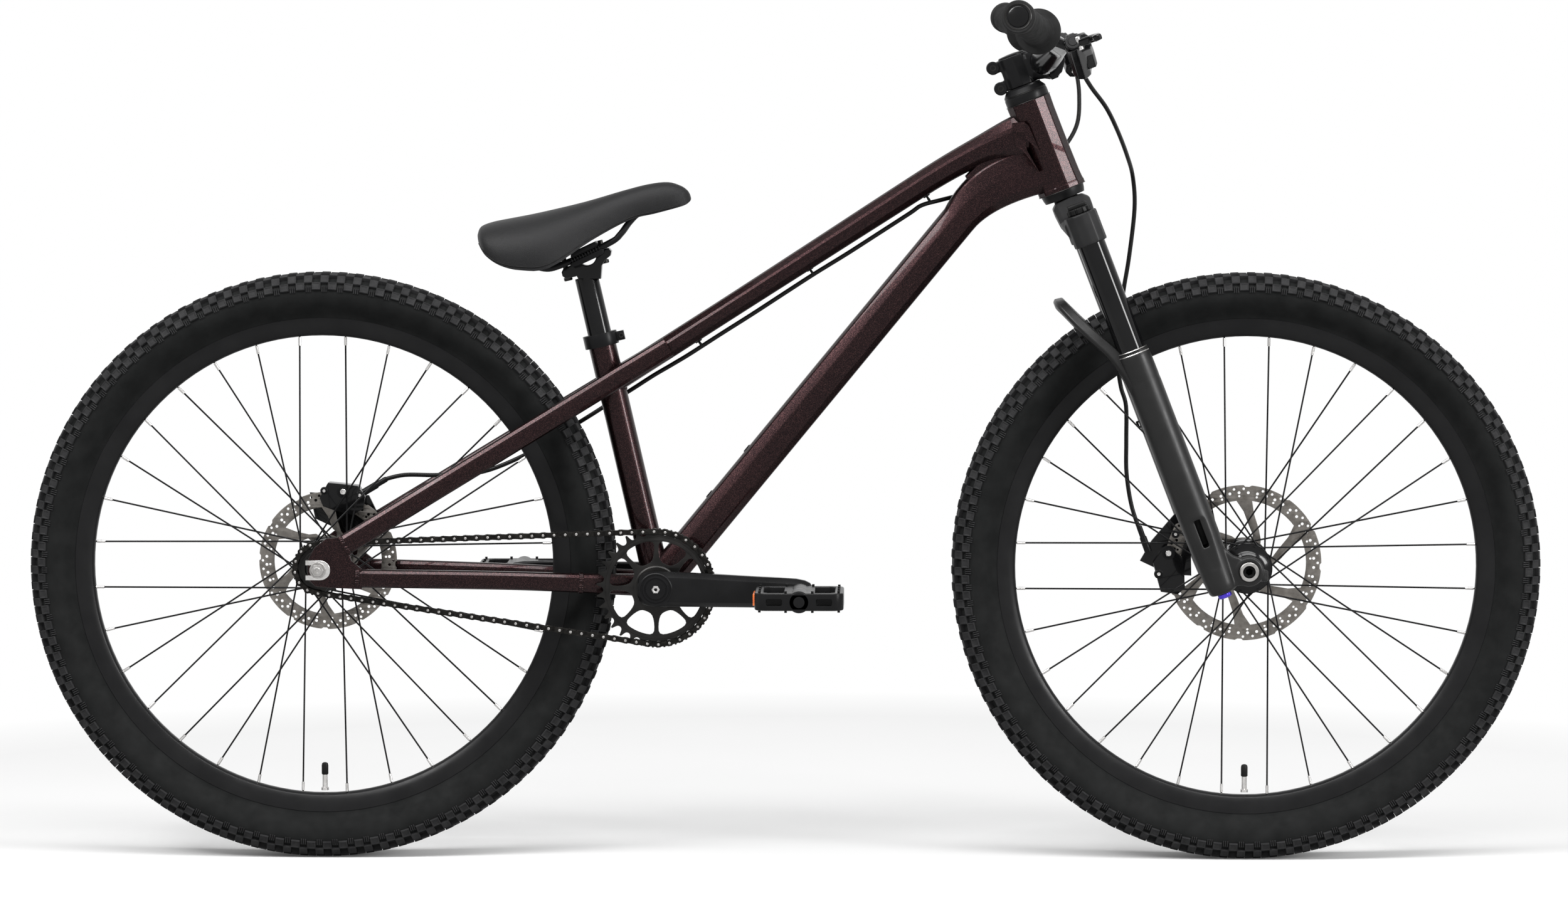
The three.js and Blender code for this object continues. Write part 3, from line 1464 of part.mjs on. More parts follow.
// The crown bridges the two sleeves in a low arch that leaves the tyre its travel.
function forkCrown() {
  const low = crownTop - crownThickness;
  const sleeveTop = -crownSleeveTop;
  const sleeveLow = -crownSleeveBottom;
  const bridge = skin([
    [-legY, sleeveLow * 0.88, sleeveTop - fit, 0.78],
    [-legY * 0.72, low - crownThickness * 0.45, sleeveTop + fit, 0.92],
    [-legY * 0.36, low, crownTop, 1],
    [legY * 0.36, low, crownTop, 1],
    [legY * 0.72, low - crownThickness * 0.45, sleeveTop + fit, 0.92],
    [legY, sleeveLow * 0.88, sleeveTop - fit, 0.78],
  ].map(([y, bottom, top, depth]) => oval(2 * crownHalfDepth * depth, top - bottom, 10, 3)
    .map(([x, z]) => new THREE.Vector3(x + legX / 2, y, (top + bottom) / 2 + z))));
  const right = legRod(crownSleeveRadius, crownSleeveBottom, crownSleeveTop);
  const steerer = turned(rodProfile(steererRadius, crownTop - overrun, stemHigh - stemCapHeight), hubSides);
  const socket = legRod(boreRound(stanchionRadius, tubeSides), crownSleeveBottom + overrun, crownSleeveTop + crownRoof);
  return cut(join(bridge, right, mirrored(right), steerer), socket, mirrored(socket));
}

function stanchion() {
  const top = crownSleeveTop + crownRoof + fit;
  const low = crownSleeveTop + stanchionLength;
  const inner = legRod(stanchionRadius - stanchionWall, low + overrun, top + stanchionWall);
  return cut(legRod(stanchionRadius, low, top), inner);
}

// The right leg, whose foot carries the axle boss ahead of it.
function lowerLeg() {
  const low = -legFoot;
  const high = -sealTop - sealHeight;
  const body = turned([
    [0, low],
    [legFootRadius * 0.85, low],
    [legFootRadius, low + legFootRadius / 2],
    [legRadius, low + 4 * legFootRadius],
    [legRadius, high - 2 * legTopRadius],
    [legTopRadius, high],
    [sealRadius, high],
    [sealRadius, -sealTop - sealHeight / 3],
    [sealRadius - stanchionWall / 2, -sealTop],
    [0, -sealTop],
  ], tubeSides).translate(legX, -legY, 0);
  const inner = frontHubWidth / 2;
  const bossWidth = legY + legFootRadius * 0.6 - inner;
  const bossY = -inner - bossWidth / 2;
  const lug = slab([
    [legX - legFootRadius * 0.5, -inner - bossWidth],
    [forkOffset, -inner - bossWidth],
    [forkOffset, -inner],
    [legX - legFootRadius * 0.5, -inner],
  ], -axleDepth - axleBossRadius / 2, -axleDepth + axleBossRadius * 1.5);
  const bevel = box(
    [forkOffset + axleBossRadius * 0.5, bossY, -axleDepth + axleBossRadius * 2.15],
    [axleBossRadius * 4, bossWidth + overrun, axleBossRadius * 2],
  );
  const boss = spun(rodProfile(axleBossRadius, -bossWidth / 2, bossWidth / 2), hubSides)
    .translate(forkOffset, bossY, -axleDepth);
  return join(body, cut(lug, bevel), boss);
}

// The arch stands behind the tyre and joins the two legs.
function forkArch() {
  const high = -sealTop - sealHeight;
  const foot = high - archHeight * 0.2;
  const path = [
    [legX - legTopRadius * 0.5, -legY, foot, 1.5],
    [legX - archBehind * 0.4, -legY * 0.955, foot + archHeight * 0.34, 1.15],
    [legX - archBehind * 0.75, -legY * 0.77, foot + archHeight * 0.72, 0.95],
    [legX - archBehind, -legY * 0.34, foot + archHeight, 0.9],
  ];
  const whole = [...path, ...path.map(([x, y, z, size]) => [x, -y, z, size]).reverse()];
  const stations = whole.map(([x, y, z, size]) => ({
    at: new THREE.Vector3(x, y, z),
    width: archThickness * size,
    height: archWidth * size,
  }));
  return tube(stations, { sides: 8, squareness: 2.6, across: new THREE.Vector3(1, 0, 0) });
}

function forkLowers() {
  const leg = lowerLeg();
  const boreFoot = crownSleeveTop + stanchionLength + forkTravel + bottomOutRoom;
  const bore = legRod(boreRound(stanchionRadius, tubeSides), boreFoot, sealTop - archHeight);
  const axleHole = spun(rodProfile(boreRound(frontAxleRadius, hubSides), -barWidth / 2, barWidth / 2), hubSides)
    .translate(forkOffset, 0, -axleDepth);
  return cut(join(leg, mirrored(leg), forkArch()), bore, mirrored(bore), axleHole);
}

const bossOuter = legY + legFootRadius * 0.6;

function frontThruAxle() {
  const head = bossOuter + fit;
  return spun([
    [frontAxleRadius * 0.7, -head - axleHeadLength], [axleHeadRadius, -head - axleHeadLength],
    [axleHeadRadius, -head], [frontAxleRadius, -head], [frontAxleRadius, head],
    [axleHeadRadius, head], [axleHeadRadius, head + axleHeadLength],
    [frontAxleRadius * 0.7, head + axleHeadLength], [frontAxleRadius * 0.7, -head - axleHeadLength],
  ], hubSides).translate(forkOffset, 0, -axleDepth);
}

function compressionKnob() {
  const low = -crownSleeveTop + fit;
  const outline = Array.from({ length: 24 }, (_, i) => {
    const reach = i % 2 ? knobRadius : knobRadius * 0.9;
    const angle = (2 * Math.PI * i) / 24;
    return [reach * Math.cos(angle), reach * Math.sin(angle)];
  });
  return slab(outline, low, low + knobHeight).translate(legX, -legY, 0);
}

function reboundKnob() {
  const high = -legFoot - fit;
  const outline = circle(reboundRadius, 10);
  return slab(outline, high - reboundHeight, high).translate(legX, -legY, 0);
}

// A caliper's outline as shares of its length and height, with rounded ends like a bean.
const caliperShares = [
  [-0.5, -0.2], [-0.38, -0.46], [-0.1, -0.5], [0.3, -0.5], [0.5, -0.22],
  [0.48, 0.2], [0.26, 0.5], [-0.14, 0.42], [-0.4, 0.36],
];

function caliper(rotorY, rotorRadius) {
  const outline = caliperShares.map(([x, z]) => [x * caliperLength, z * caliperHeight]);
  const body = plate(outline, -caliperHalfWidth, caliperHalfWidth);
  const inwards = -caliperHeight * 0.16;
  const slot = box(
    [0, 0, inwards],
    [caliperLength + overrun, caliperSlot * 2, caliperHeight],
  );
  return cut(body, slot).translate(0, rotorY, rotorRadius);
}

function frontCaliper() {
  const rotorY = frontRotorPlane;
  const lift = radians(76);
  const body = caliper(rotorY, frontRotorRadius - caliperHeight * 0.1)
    .rotateY(-lift)
    .translate(forkOffset, 0, -axleDepth);
  const from = rotorY + caliperSlot + fit;
  const legBack = legX - legRadius;
  const bracket = plate([
    [legBack + legRadius * 0.6, axleBossRadius * 5.1], [-caliperLength * 0.9, axleBossRadius * 3.6],
    [-caliperLength * 1.3, axleBossRadius * 2.6], [-caliperLength * 0.8, axleBossRadius],
    [-caliperLength * 0.35, axleBossRadius * 0.4], [legBack + legRadius * 0.6, axleBossRadius * 3.4],
  ].map(([x, z]) => [x, z - axleDepth]), from + bracketThickness / 2, from + bracketThickness * 1.5);
  const leg = mirrored(inLeg(fit));
  return cut(join(body, bracket), leg);
}

// The right leg's outer shape, grown by a clearance.
function inLeg(grow) {
  return legRod(legRadius + grow, legFoot + overrun, sealTop);
}

function rearCaliper() {
  const rotorY = rearRotorPlane;
  const body = caliper(rotorY, rearRotorRadius - caliperHeight * 0.1)
    .rotateY(-radians(-14))
    .translate(...rearAxle.toArray());
  const out = rotorY + caliperSlot + fit;
  const bracket = plate([
    [-caliperLength * 0.42, rearRotorRadius * 0.98], [caliperLength * 0.9, rearRotorRadius * 0.94],
    [caliperLength * 1.08, rearRotorRadius * 0.7], [caliperLength * 0.72, rearRotorRadius * 0.36],
    [caliperLength * 0.36, rearRotorRadius * 0.4], [-caliperLength * 0.3, rearRotorRadius * 0.6],
  ], out + bracketThickness, out + 2 * bracketThickness).translate(...rearAxle.toArray());
  const plates = mirrored(dropoutEnvelope());
  const stays = mirrored(seatstay(fit));
  return cut(join(body, bracket), plates, stays);
}

function buildFork() {
  add(steering, 'fork_crown', forkCrown(), finishes.satin);
  add(steering, 'stanchion_right', stanchion(), finishes.gloss);
  add(steering, 'stanchion_left', mirrored(stanchion()), finishes.gloss);
  add(steering, 'fork_lowers', forkLowers(), finishes.satin);
  add(steering, 'front_thru_axle', frontThruAxle(), finishes.steel);
  add(steering, 'compression_knob', compressionKnob(), finishes.satin);
  add(steering, 'rebound_knob', reboundKnob(), finishes.knob);
  add(steering, 'front_caliper', frontCaliper(), finishes.satin);
  add(bike, 'rear_caliper', rearCaliper(), finishes.satin);
}

// Stem, handlebar, grips and levers, in the steering axis's own frame

const barCentre = new THREE.Vector3(stemReach, 0, stemMiddle);
const barBend = new THREE.Vector3(stemReach + barForward, barBendY, stemMiddle + barRise);
const gripAxis = new THREE.Vector3(
  -Math.tan(radians(barBacksweep)),
  1,
  Math.tan(radians(barUpsweep)),
).normalize();

function onBar(y) {
  return barBend.clone().addScaledVector(gripAxis, (y - barBendY) / gripAxis.y);
}

function gripPlaced(geometry, y) {
  const turn = new THREE.Quaternion().setFromUnitVectors(new THREE.Vector3(0, 1, 0), gripAxis);
  return geometry.applyQuaternion(turn).translate(...onBar(y).toArray());
}

function topCap() {
  const bore = boreRound(steererRadius, hubSides);
  return turned([
    [bore, topCapLow],
    [cupLipRadius, topCapLow],
    [spacerRadius, topCapLow + spacerHeight / 2],
    [spacerRadius, topCapLow + spacerHeight],
    [bore, topCapLow + spacerHeight],
    [bore, topCapLow],
  ], hubSides);
}

function barSolid(grow) {
  const taper = (barBendY + barClampHalf) / 2;
  const clamp = 2 * (barClampRadius + grow);
  const end = 2 * (barRadius + grow);
  const half = [
    { at: barCentre.clone().setY(barClampHalf), width: clamp, height: clamp },
    {
      at: new THREE.Vector3(barCentre.x + barForward * 0.5, taper, barCentre.z + barRise * 0.42),
      width: (clamp + end) / 2,
      height: (clamp + end) / 2,
    },
    { at: barBend.clone(), width: end, height: end },
    { at: onBar(barWidth / 2), width: end, height: end },
  ];
  const other = half.map((station) => ({ ...station, at: station.at.clone().setY(-station.at.y) }));
  return tube([...other.reverse(), ...half], { sides: tubeSides, across: new THREE.Vector3(1, 0, 0) });
}

// The stem clamps the steerer at its rear and holds the bar in its open front.
function stem() {
  const clamp = turned(rodProfile(stemRadius, stemLow, stemHigh), hubSides);
  const neck = skin([
    [0, stemRadius * 1.5, stemHeight],
    [stemReach * 0.45, stemBarWidth * stemBodyShare, stemHeight * 0.94],
    [stemReach - barClampRadius * 0.4, stemBarWidth, stemHeight * 1.1],
    [stemReach - fit, stemBarWidth, stemHeight * 1.3],
  ].map(([x, wide, tall]) => oval(wide, tall, 12, 4)
    .map(([y, z]) => new THREE.Vector3(x, y, stemMiddle + z))));
  const ears = box(
    [-stemRadius, 0, stemMiddle],
    [stemRadius, stemRadius * 1.1, stemHeight * 0.96],
  );
  const bore = turned(rodProfile(boreRound(steererRadius, hubSides), stemLow - overrun, stemHigh + overrun), hubSides);
  const slot = box([-stemRadius, 0, stemMiddle], [2 * stemRadius, collarSlot, stemHeight + overrun]);
  const waist = box([-stemRadius * 1.25, 0, stemMiddle], [stemRadius * 0.7, stemRadius * 2, stemHeight * 0.3]);
  return cut(join(clamp, neck, ears), bore, slot, waist, barSolid(fit));
}

function stemFaceplate() {
  const half = stemBarWidth / 2;
  const drum = spun(rodProfile(stemBarRadius, -half, half), hubSides).translate(stemReach, 0, stemMiddle);
  const tall = stemHeight * 1.3;
  const lugs = box(
    [stemReach + faceplateDepth * 0.4, 0, stemMiddle],
    [faceplateDepth * 0.8, stemBarWidth, tall],
  );
  const back = box(
    [stemReach - stemBarRadius + fit, 0, stemMiddle],
    [2 * stemBarRadius, stemBarWidth + overrun, 2 * tall],
  );
  const window = box(
    [stemReach + stemBarRadius, 0, stemMiddle],
    [stemBarRadius, stemBarWidth * 0.36, stemHeight * 0.6],
  );
  return cut(join(drum, lugs), back, barSolid(fit), window);
}

// The handlebar's own ends are open, as the tube's are, so that it stays a tube.
function handlebar() {
  const wall = barRadius * 0.8;
  const bore = gripPlaced(spun(rodProfile(wall, -gripLength, overrun), smallSides), barWidth / 2);
  return cut(barSolid(0), bore, mirrored(bore));
}

function grip() {
  const bore = boreRound(barRadius, tubeSides);
  const outer = gripPlug + fit;
  return gripPlaced(spun([
    [bore, -gripLength],
    [gripFlangeRadius, -gripLength],
    [gripFlangeRadius, -gripLength + gripFlangeWidth],
    [gripRadius, -gripLength + gripFlangeWidth * 1.6],
    [gripRadius, outer - 2 * gripEndWidth],
    [gripEndRadius, outer - gripEndWidth],
    [gripEndRadius, outer - gripPlug / 2],
    [gripRadius, outer],
    [0, outer],
    [0, fit],
    [bore, fit],
    [bore, -gripLength],
  ], tubeSides), barWidth / 2);
}

// The lever's master cylinder hangs in front of the bar, its outer end higher than its hose end.
const leverOuter = new THREE.Vector3(leverBodyForward, leverClampY + leverBodyOutwards, leverBodyTop);
const leverInner = new THREE.Vector3(leverBodyForward, leverClampY - leverBodyInwards, leverBodyBottom);
const leverPivot = leverOuter.clone().add(new THREE.Vector3(leverBodyRadius * 0.5, 0, -leverBodyRadius * 0.4));

function leverBody() {
  const cylinder = rod(leverInner, leverOuter, leverBodyRadius, smallSides);
  const middle = leverInner.clone().lerp(leverOuter, 0.55);
  const reservoir = tube([
    {
      at: leverInner.clone().lerp(leverOuter, 0.2).add(new THREE.Vector3(leverBodyRadius, 0, 0)),
      width: leverReservoirWidth,
      height: leverReservoirHeight,
    },
    {
      at: middle.clone().add(new THREE.Vector3(leverBodyRadius, 0, leverReservoirLength * 0.1)),
      width: leverReservoirWidth * 1.1,
      height: leverReservoirHeight * 1.1,
    },
    {
      at: leverInner.clone().lerp(leverOuter, 0.86).add(new THREE.Vector3(leverBodyRadius, 0, 0)),
      width: leverReservoirWidth,
      height: leverReservoirHeight,
    },
  ], { sides: 8, squareness: 3.5, across: new THREE.Vector3(1, 0, 0) });
  const clampRound = spun(rodProfile(leverClampRadius, -leverClampWidth / 2, leverClampWidth / 2), hubSides);
  const clamp = gripPlaced(clampRound, leverClampY);
  const bridgeFrom = onBar(leverClampY);
  const bridgeTo = leverInner.clone().lerp(leverOuter, leverBodyInwards / (leverBodyInwards + leverBodyOutwards));
  const bridge = rod(bridgeFrom, bridgeTo, leverClampWidth / 2 - fit, 6);
  const bore = gripPlaced(spun(rodProfile(boreRound(barRadius, tubeSides), -leverClampWidth, leverClampWidth), tubeSides), leverClampY);
  const slot = box(
    leverPivot.toArray(),
    [4 * leverBodyRadius, leverBladeHeight * 1.6, leverBladeThickness + 2 * fit],
  ).translate(0, leverBladeHeight * 0.2, 0);
  return cut(join(cylinder, reservoir, clamp, bridge), bore, slot);
}

// The blade from its pivot to its curled tip: shares of its length outwards and of its forward reach.
const leverBladeShares = [[-0.02, 0, 1], [0.16, 0.72, 1], [0.42, 1, 0.9], [0.72, 0.82, 0.8], [0.94, 0.8, 0.85], [1, 1.05, 0.7]];

function leverBlade() {
  const stations = leverBladeShares.map(([out, ahead, size]) => ({
    at: leverPivot.clone().add(new THREE.Vector3(ahead * leverBladeForward, out * leverBladeLength, 0)),
    width: leverBladeHeight * size * 0.6,
    height: leverBladeThickness * size,
  }));
  return tube(stations, { sides: 8, squareness: 3, across: new THREE.Vector3(1, 0, 0) });
}

function buildBars() {
  add(steering, 'headset_top_cap', topCap(), finishes.satin);
  add(steering, 'stem', stem(), finishes.satin);
  add(steering, 'stem_faceplate', stemFaceplate(), finishes.satin);
  add(steering, 'handlebar', handlebar(), finishes.gloss);
  const body = leverBody();
  const blade = leverBlade();
  add(steering, 'grip_left', grip(), finishes.rubber);
  add(steering, 'grip_right', mirrored(grip()), finishes.rubber);
  add(steering, 'lever_body_left', body, finishes.gloss);
  add(steering, 'lever_body_right', mirrored(body), finishes.gloss);
  add(steering, 'brake_lever_left', blade, finishes.gloss);
  add(steering, 'brake_lever_right', mirrored(blade), finishes.gloss);
}

// A brake hose along its route

function hose(route) {
  const curve = new THREE.CatmullRomCurve3(route.map((point) => new THREE.Vector3(...point)));
  const steps = Math.round(curve.getLength() / hoseStep);
  return extrudedAlong(curve, circle(hoseRadius, hoseSides), steps);
}

buildFrame();
buildSeat();
buildWheel('front', frontAxle, frontHub(), frontRotorRadius, frontRotorPlane);
buildWheel('rear', rearAxle, rearHub(), rearRotorRadius, rearRotorPlane);
buildDrive();
buildFork();
buildBars();
add(bike, 'front_hose', hose(frontHoseRoute), finishes.gloss);
add(bike, 'rear_hose', hose(rearHoseRoute), finishes.gloss);

export default bike;
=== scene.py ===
import json
import math

import bpy
from mathutils import Matrix, Vector


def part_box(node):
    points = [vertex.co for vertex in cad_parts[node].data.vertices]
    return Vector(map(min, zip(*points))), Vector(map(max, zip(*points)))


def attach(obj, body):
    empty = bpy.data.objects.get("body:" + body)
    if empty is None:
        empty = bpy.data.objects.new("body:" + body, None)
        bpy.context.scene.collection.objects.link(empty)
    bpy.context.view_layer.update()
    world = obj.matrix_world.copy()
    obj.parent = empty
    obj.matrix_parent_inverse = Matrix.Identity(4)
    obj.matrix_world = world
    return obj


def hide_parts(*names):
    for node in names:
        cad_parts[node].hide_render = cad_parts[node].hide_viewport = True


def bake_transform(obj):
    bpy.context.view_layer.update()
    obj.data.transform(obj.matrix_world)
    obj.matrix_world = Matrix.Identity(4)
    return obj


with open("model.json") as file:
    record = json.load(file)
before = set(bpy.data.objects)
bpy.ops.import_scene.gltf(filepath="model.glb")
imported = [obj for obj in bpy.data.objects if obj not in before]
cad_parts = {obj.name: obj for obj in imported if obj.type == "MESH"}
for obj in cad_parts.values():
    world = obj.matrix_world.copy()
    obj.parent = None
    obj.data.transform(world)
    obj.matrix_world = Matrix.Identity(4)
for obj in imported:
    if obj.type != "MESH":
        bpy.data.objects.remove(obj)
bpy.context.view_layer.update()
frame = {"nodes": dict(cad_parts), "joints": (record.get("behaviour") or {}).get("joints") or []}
bpy.ops.object.select_all(action="DESELECT")

MM = 0.001
nodes = frame["nodes"]
joints = {joint["name"]: joint for joint in frame["joints"]}


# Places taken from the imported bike

def joint_place(name):
    return Vector(joints[name]["pos_m"])


def joint_axis(name):
    return Vector(joints[name]["axis"]).normalized()


def frame_of(origin, up):
    forward = Vector((up.z, 0, -up.x))
    return Matrix.Translation(origin) @ Matrix((forward, (0, 1, 0), up)).transposed().to_4x4()


front_axle = joint_place("front_wheel_spin")
rear_axle = joint_place("rear_wheel_spin")
crank_axle = joint_place("crank_spin")
tilt_axle = joint_place("saddle_tilt")
seat_axis = joint_axis("seatpost_height")
seat = frame_of(crank_axle, seat_axis)
# The head tube's bottom end is the origin of everything that steers
head = frame_of(joint_place("steering"), joint_axis("steering"))


def steered(x, y, z):
    return head @ Vector((x * MM, y * MM, z * MM))


# Moves in millimetres, turns in degrees and directions

def shift(x=0, y=0, z=0):
    return Matrix.Translation((x * MM, y * MM, z * MM))


def spun(degrees, axis):
    return Matrix.Rotation(math.radians(degrees), 4, axis)


def aimed(direction):
    return direction.to_track_quat("Z", "Y").to_matrix().to_4x4()


def sloped(degrees):
    return Vector((math.cos(math.radians(degrees)), 0, math.sin(math.radians(degrees))))


def polar(radius, angle):
    return radius * math.cos(angle), radius * math.sin(angle)


half_turn = spun(180, "Z")
mirror = Matrix.Diagonal((1, -1, 1, 1))


# Modelling helpers, with sizes in millimetres

def deselect():
    if bpy.context.mode != "OBJECT":
        bpy.ops.object.mode_set(mode="OBJECT")
    bpy.ops.object.select_all(action="DESELECT")


def take(piece):
    deselect()
    piece.select_set(True)
    bpy.context.view_layer.objects.active = piece
    return piece


def edit_all(piece):
    take(piece)
    bpy.ops.object.mode_set(mode="EDIT")
    bpy.ops.mesh.select_all(action="SELECT")


def named(name):
    piece = bpy.context.object
    piece.name = piece.data.name = name
    return piece


def linked(name, data):
    piece = bpy.data.objects.new(name, data)
    bpy.context.scene.collection.objects.link(piece)
    return take(piece)


def added(name, vertices, edges=(), faces=()):
    mesh = bpy.data.meshes.new(name)
    mesh.from_pydata([Vector(v) * MM for v in vertices], list(edges), list(faces))
    return linked(name, mesh)


def discard(*pieces):
    for piece in pieces:
        bpy.data.objects.remove(piece)


def apply_place(piece, matrix):
    take(piece)
    piece.matrix_world = matrix @ piece.matrix_world
    bpy.ops.object.transform_apply(location=True, rotation=True, scale=True)
    return piece


# Selects the faces that pass a test, and leaves the piece in edit mode.
def choose_faces(piece, test):
    take(piece)
    bpy.ops.object.mode_set(mode="EDIT")
    bpy.ops.mesh.select_mode(type="FACE")
    bpy.ops.mesh.select_all(action="DESELECT")
    bpy.ops.object.mode_set(mode="OBJECT")
    for face in piece.data.polygons:
        face.select = test(face)
    bpy.ops.object.mode_set(mode="EDIT")


def shaded(piece, angle):
    take(piece)
    bpy.ops.object.shade_smooth_by_angle(angle=math.radians(angle))
    return piece


def tidy(piece, angle=30):
    edit_all(piece)
    bpy.ops.mesh.remove_doubles(threshold=1e-6)
    bpy.ops.mesh.normals_make_consistent(inside=False)
    return shaded(piece, angle)


def modified(piece, kind, **settings):
    take(piece)
    modifier = piece.modifiers.new(kind, kind)
    for key, value in settings.items():
        setattr(modifier, key, value)
    bpy.ops.object.modifier_apply(modifier=modifier.name)
    return piece


def softened(piece, width, segments=2, angle=30):
    modified(piece, "BEVEL", width=width * MM, segments=segments, limit_method="ANGLE",
             angle_limit=math.radians(angle), harden_normals=False)
    return shaded(piece, 40)


def cut(piece, cutter):
    modified(piece, "BOOLEAN", object=cutter, operation="DIFFERENCE", solver="EXACT")
    discard(cutter)
    return piece


# Blends a body's corners like a casting's: an even skin of small squares, then smoothed.
def cast(piece, grain, rounds, spread):
    modified(piece, "REMESH", mode="VOXEL", voxel_size=grain * MM, use_smooth_shade=True)
    modified(piece, "SMOOTH", factor=spread, iterations=rounds)
    take(piece)
    bpy.ops.object.shade_smooth()
    return piece


def joined(name, pieces):
    deselect()
    for piece in pieces:
        piece.select_set(True)
    bpy.context.view_layer.objects.active = pieces[0]
    if len(pieces) > 1:
        bpy.ops.object.join()
    return named(name)


def copied(piece, matrix=Matrix.Identity(4)):
    copy = piece.copy()
    copy.data = piece.data.copy()
    bpy.context.scene.collection.objects.link(copy)
    copy.data.transform(matrix)
    if matrix.determinant() < 0:
        copy.data.flip_normals()
    return copy


# A piece with its twin at the axle's other end.
def paired(name, piece):
    return joined(name, [piece, copied(piece, half_turn)])


def block(name, size, at=(0, 0, 0), edge=0.0, segments=2):
    bpy.ops.mesh.primitive_cube_add(size=1, location=[k * MM for k in at], scale=[k * MM for k in size])
    piece = named(name)
    return softened(piece, edge, segments) if edge else piece


# A profile of (radius, height) pairs, spun about Z or about Y, the way axles run.
def turned(name, profile, steps=64, about="Z", angle=30):
    edit_all(added(name, [(r, 0, h) for r, h in profile], [(i, i + 1) for i in range(len(profile) - 1)]))
    bpy.ops.mesh.spin(steps=steps, angle=2 * math.pi, center=(0, 0, 0), axis=(0, 0, 1))
    piece = tidy(bpy.context.object, angle)
    return apply_place(piece, spun(-90, "X")) if about == "Y" else piece


# The same with a hollow middle: the profile's end meets its start.
def ringed(name, profile, *settings, **more):
    return turned(name, [*profile, profile[0]], *settings, **more)


# An oval section: a higher squareness has flatter sides and tighter corners.
def oval(width, height, sides, squareness=2.0):
    points = []
    for i in range(sides):
        c, s = polar(1, 2 * math.pi * (i + 0.5) / sides)
        points.append((math.copysign(abs(c) ** (2 / squareness), c) * width / 2,
                       math.copysign(abs(s) ** (2 / squareness), s) * height / 2))
    return points


def ring_points(radius, sides, centre=(0, 0)):
    return [(centre[0] + x, centre[1] + z)
            for x, z in (polar(radius, 2 * math.pi * i / sides) for i in range(sides))]


def arc_points(radius, first, last, count, centre=(0, 0)):
    turns = (first + (last - first) * i / (count - 1) for i in range(count))
    return [(centre[0] + x, centre[1] + z) for x, z in (polar(radius, angle) for angle in turns)]


# A ring whose corners are cut off at the given reach along both edges.
def blunted(corners, reach):
    ring = []
    for i, (x, y) in enumerate(corners):
        for other in (corners[i - 1], corners[(i + 1) % len(corners)]):
            dx, dy = other[0] - x, other[1] - y
            length = math.hypot(dx, dy)
            ring.append((x + dx / length * reach, y + dy / length * reach))
    return ring


# An eight sided section, one wide and one tall, with its flats' shares of the width and height.
def facets(flat_wide, flat_tall, bevel=0.06):
    a, b = flat_wide / 2, flat_tall / 2
    return blunted([(0.5, b), (a, 0.5), (-a, 0.5), (-0.5, b), (-0.5, -b), (-a, -0.5), (a, -0.5), (0.5, -b)],
                   bevel)


# Skins a closed body over rings of points.
def skinned(name, rings, angle=30):
    size = len(rings[0])
    faces = [tuple(reversed(range(size)))]
    for row in range(len(rings) - 1):
        for i in range(size):
            a, b = row * size + i, row * size + (i + 1) % size
            faces.append((a, b, b + size, a + size))
    faces.append(tuple(range((len(rings) - 1) * size, len(rings) * size)))
    return tidy(added(name, [point for ring in rings for point in ring], (), faces), angle)


# A tube through stations of (x, y, z, width, height), whose width lies along the given direction.
# Its unit section is one ring for the whole tube or one ring per station.
def swept(name, stations, section, across=(0, 1, 0), angle=30):
    centres = [Vector(station[:3]) for station in stations]
    sections = section if len(section[0]) > 2 else [section] * len(stations)
    rings = []
    for i, station in enumerate(stations):
        ahead = (centres[min(i + 1, len(centres) - 1)] - centres[max(i - 1, 0)]).normalized()
        side = Vector(across)
        side = (side - ahead * side.dot(ahead)).normalized()
        up = ahead.cross(side)
        rings.append([centres[i] + side * a * station[3] + up * b * station[4] for a, b in sections[i]])
    return skinned(name, rings, angle)


# Catmull-Rom points through the given ones, which may carry sizes after their place.
def smooth_path(points, steps):
    path = []
    for i in range(len(points) - 1):
        corners = points[max(i - 1, 0)], points[i], points[i + 1], points[min(i + 2, len(points) - 1)]
        for step in range(steps):
            t = step / steps
            path.append(tuple(0.5 * (2 * b + (c - a) * t + (2 * a - 5 * b + 4 * c - d) * t * t
                                     + (3 * b - a - 3 * c + d) * t ** 3) for a, b, c, d in zip(*corners)))
    return path + [tuple(points[-1])]


# A curve of one or more lines through points in metres, made a mesh.
def traced(name, dimensions, lines, **settings):
    curve = bpy.data.curves.new(name, "CURVE")
    curve.dimensions = dimensions
    for line in lines:
        spline = curve.splines.new("POLY")
        spline.points.add(len(line) - 1)
        for point, place in zip(spline.points, line):
            point.co = (*place, 1)
        spline.use_cyclic_u = dimensions == "2D"
    for key, value in settings.items():
        setattr(curve, key, value)
    linked(name, curve)
    bpy.ops.object.convert(target="MESH")
    return named(name)


# A flat outline with holes, in X and Z, thickened across Y and with its edges rounded.
def plate(name, outline, thickness, holes=(), edge=0.4, y=0.0, rounds=1):
    piece = traced(name, "2D", [[(x * MM, z * MM, 0) for x, z in ring] for ring in (outline, *holes)],
                   fill_mode="BOTH", extrude=(thickness / 2 - edge) * MM, bevel_depth=edge * MM,
                   bevel_resolution=rounds, offset=-edge * MM)
    return apply_place(tidy(piece), shift(0, y) @ spun(90, "X"))


# A round rod or hose through points in metres.
def rod(name, points, radius, sides=12):
    return tidy(traced(name, "3D", [points], bevel_depth=radius * MM, bevel_resolution=sides // 4,
                       use_fill_caps=True), 50)


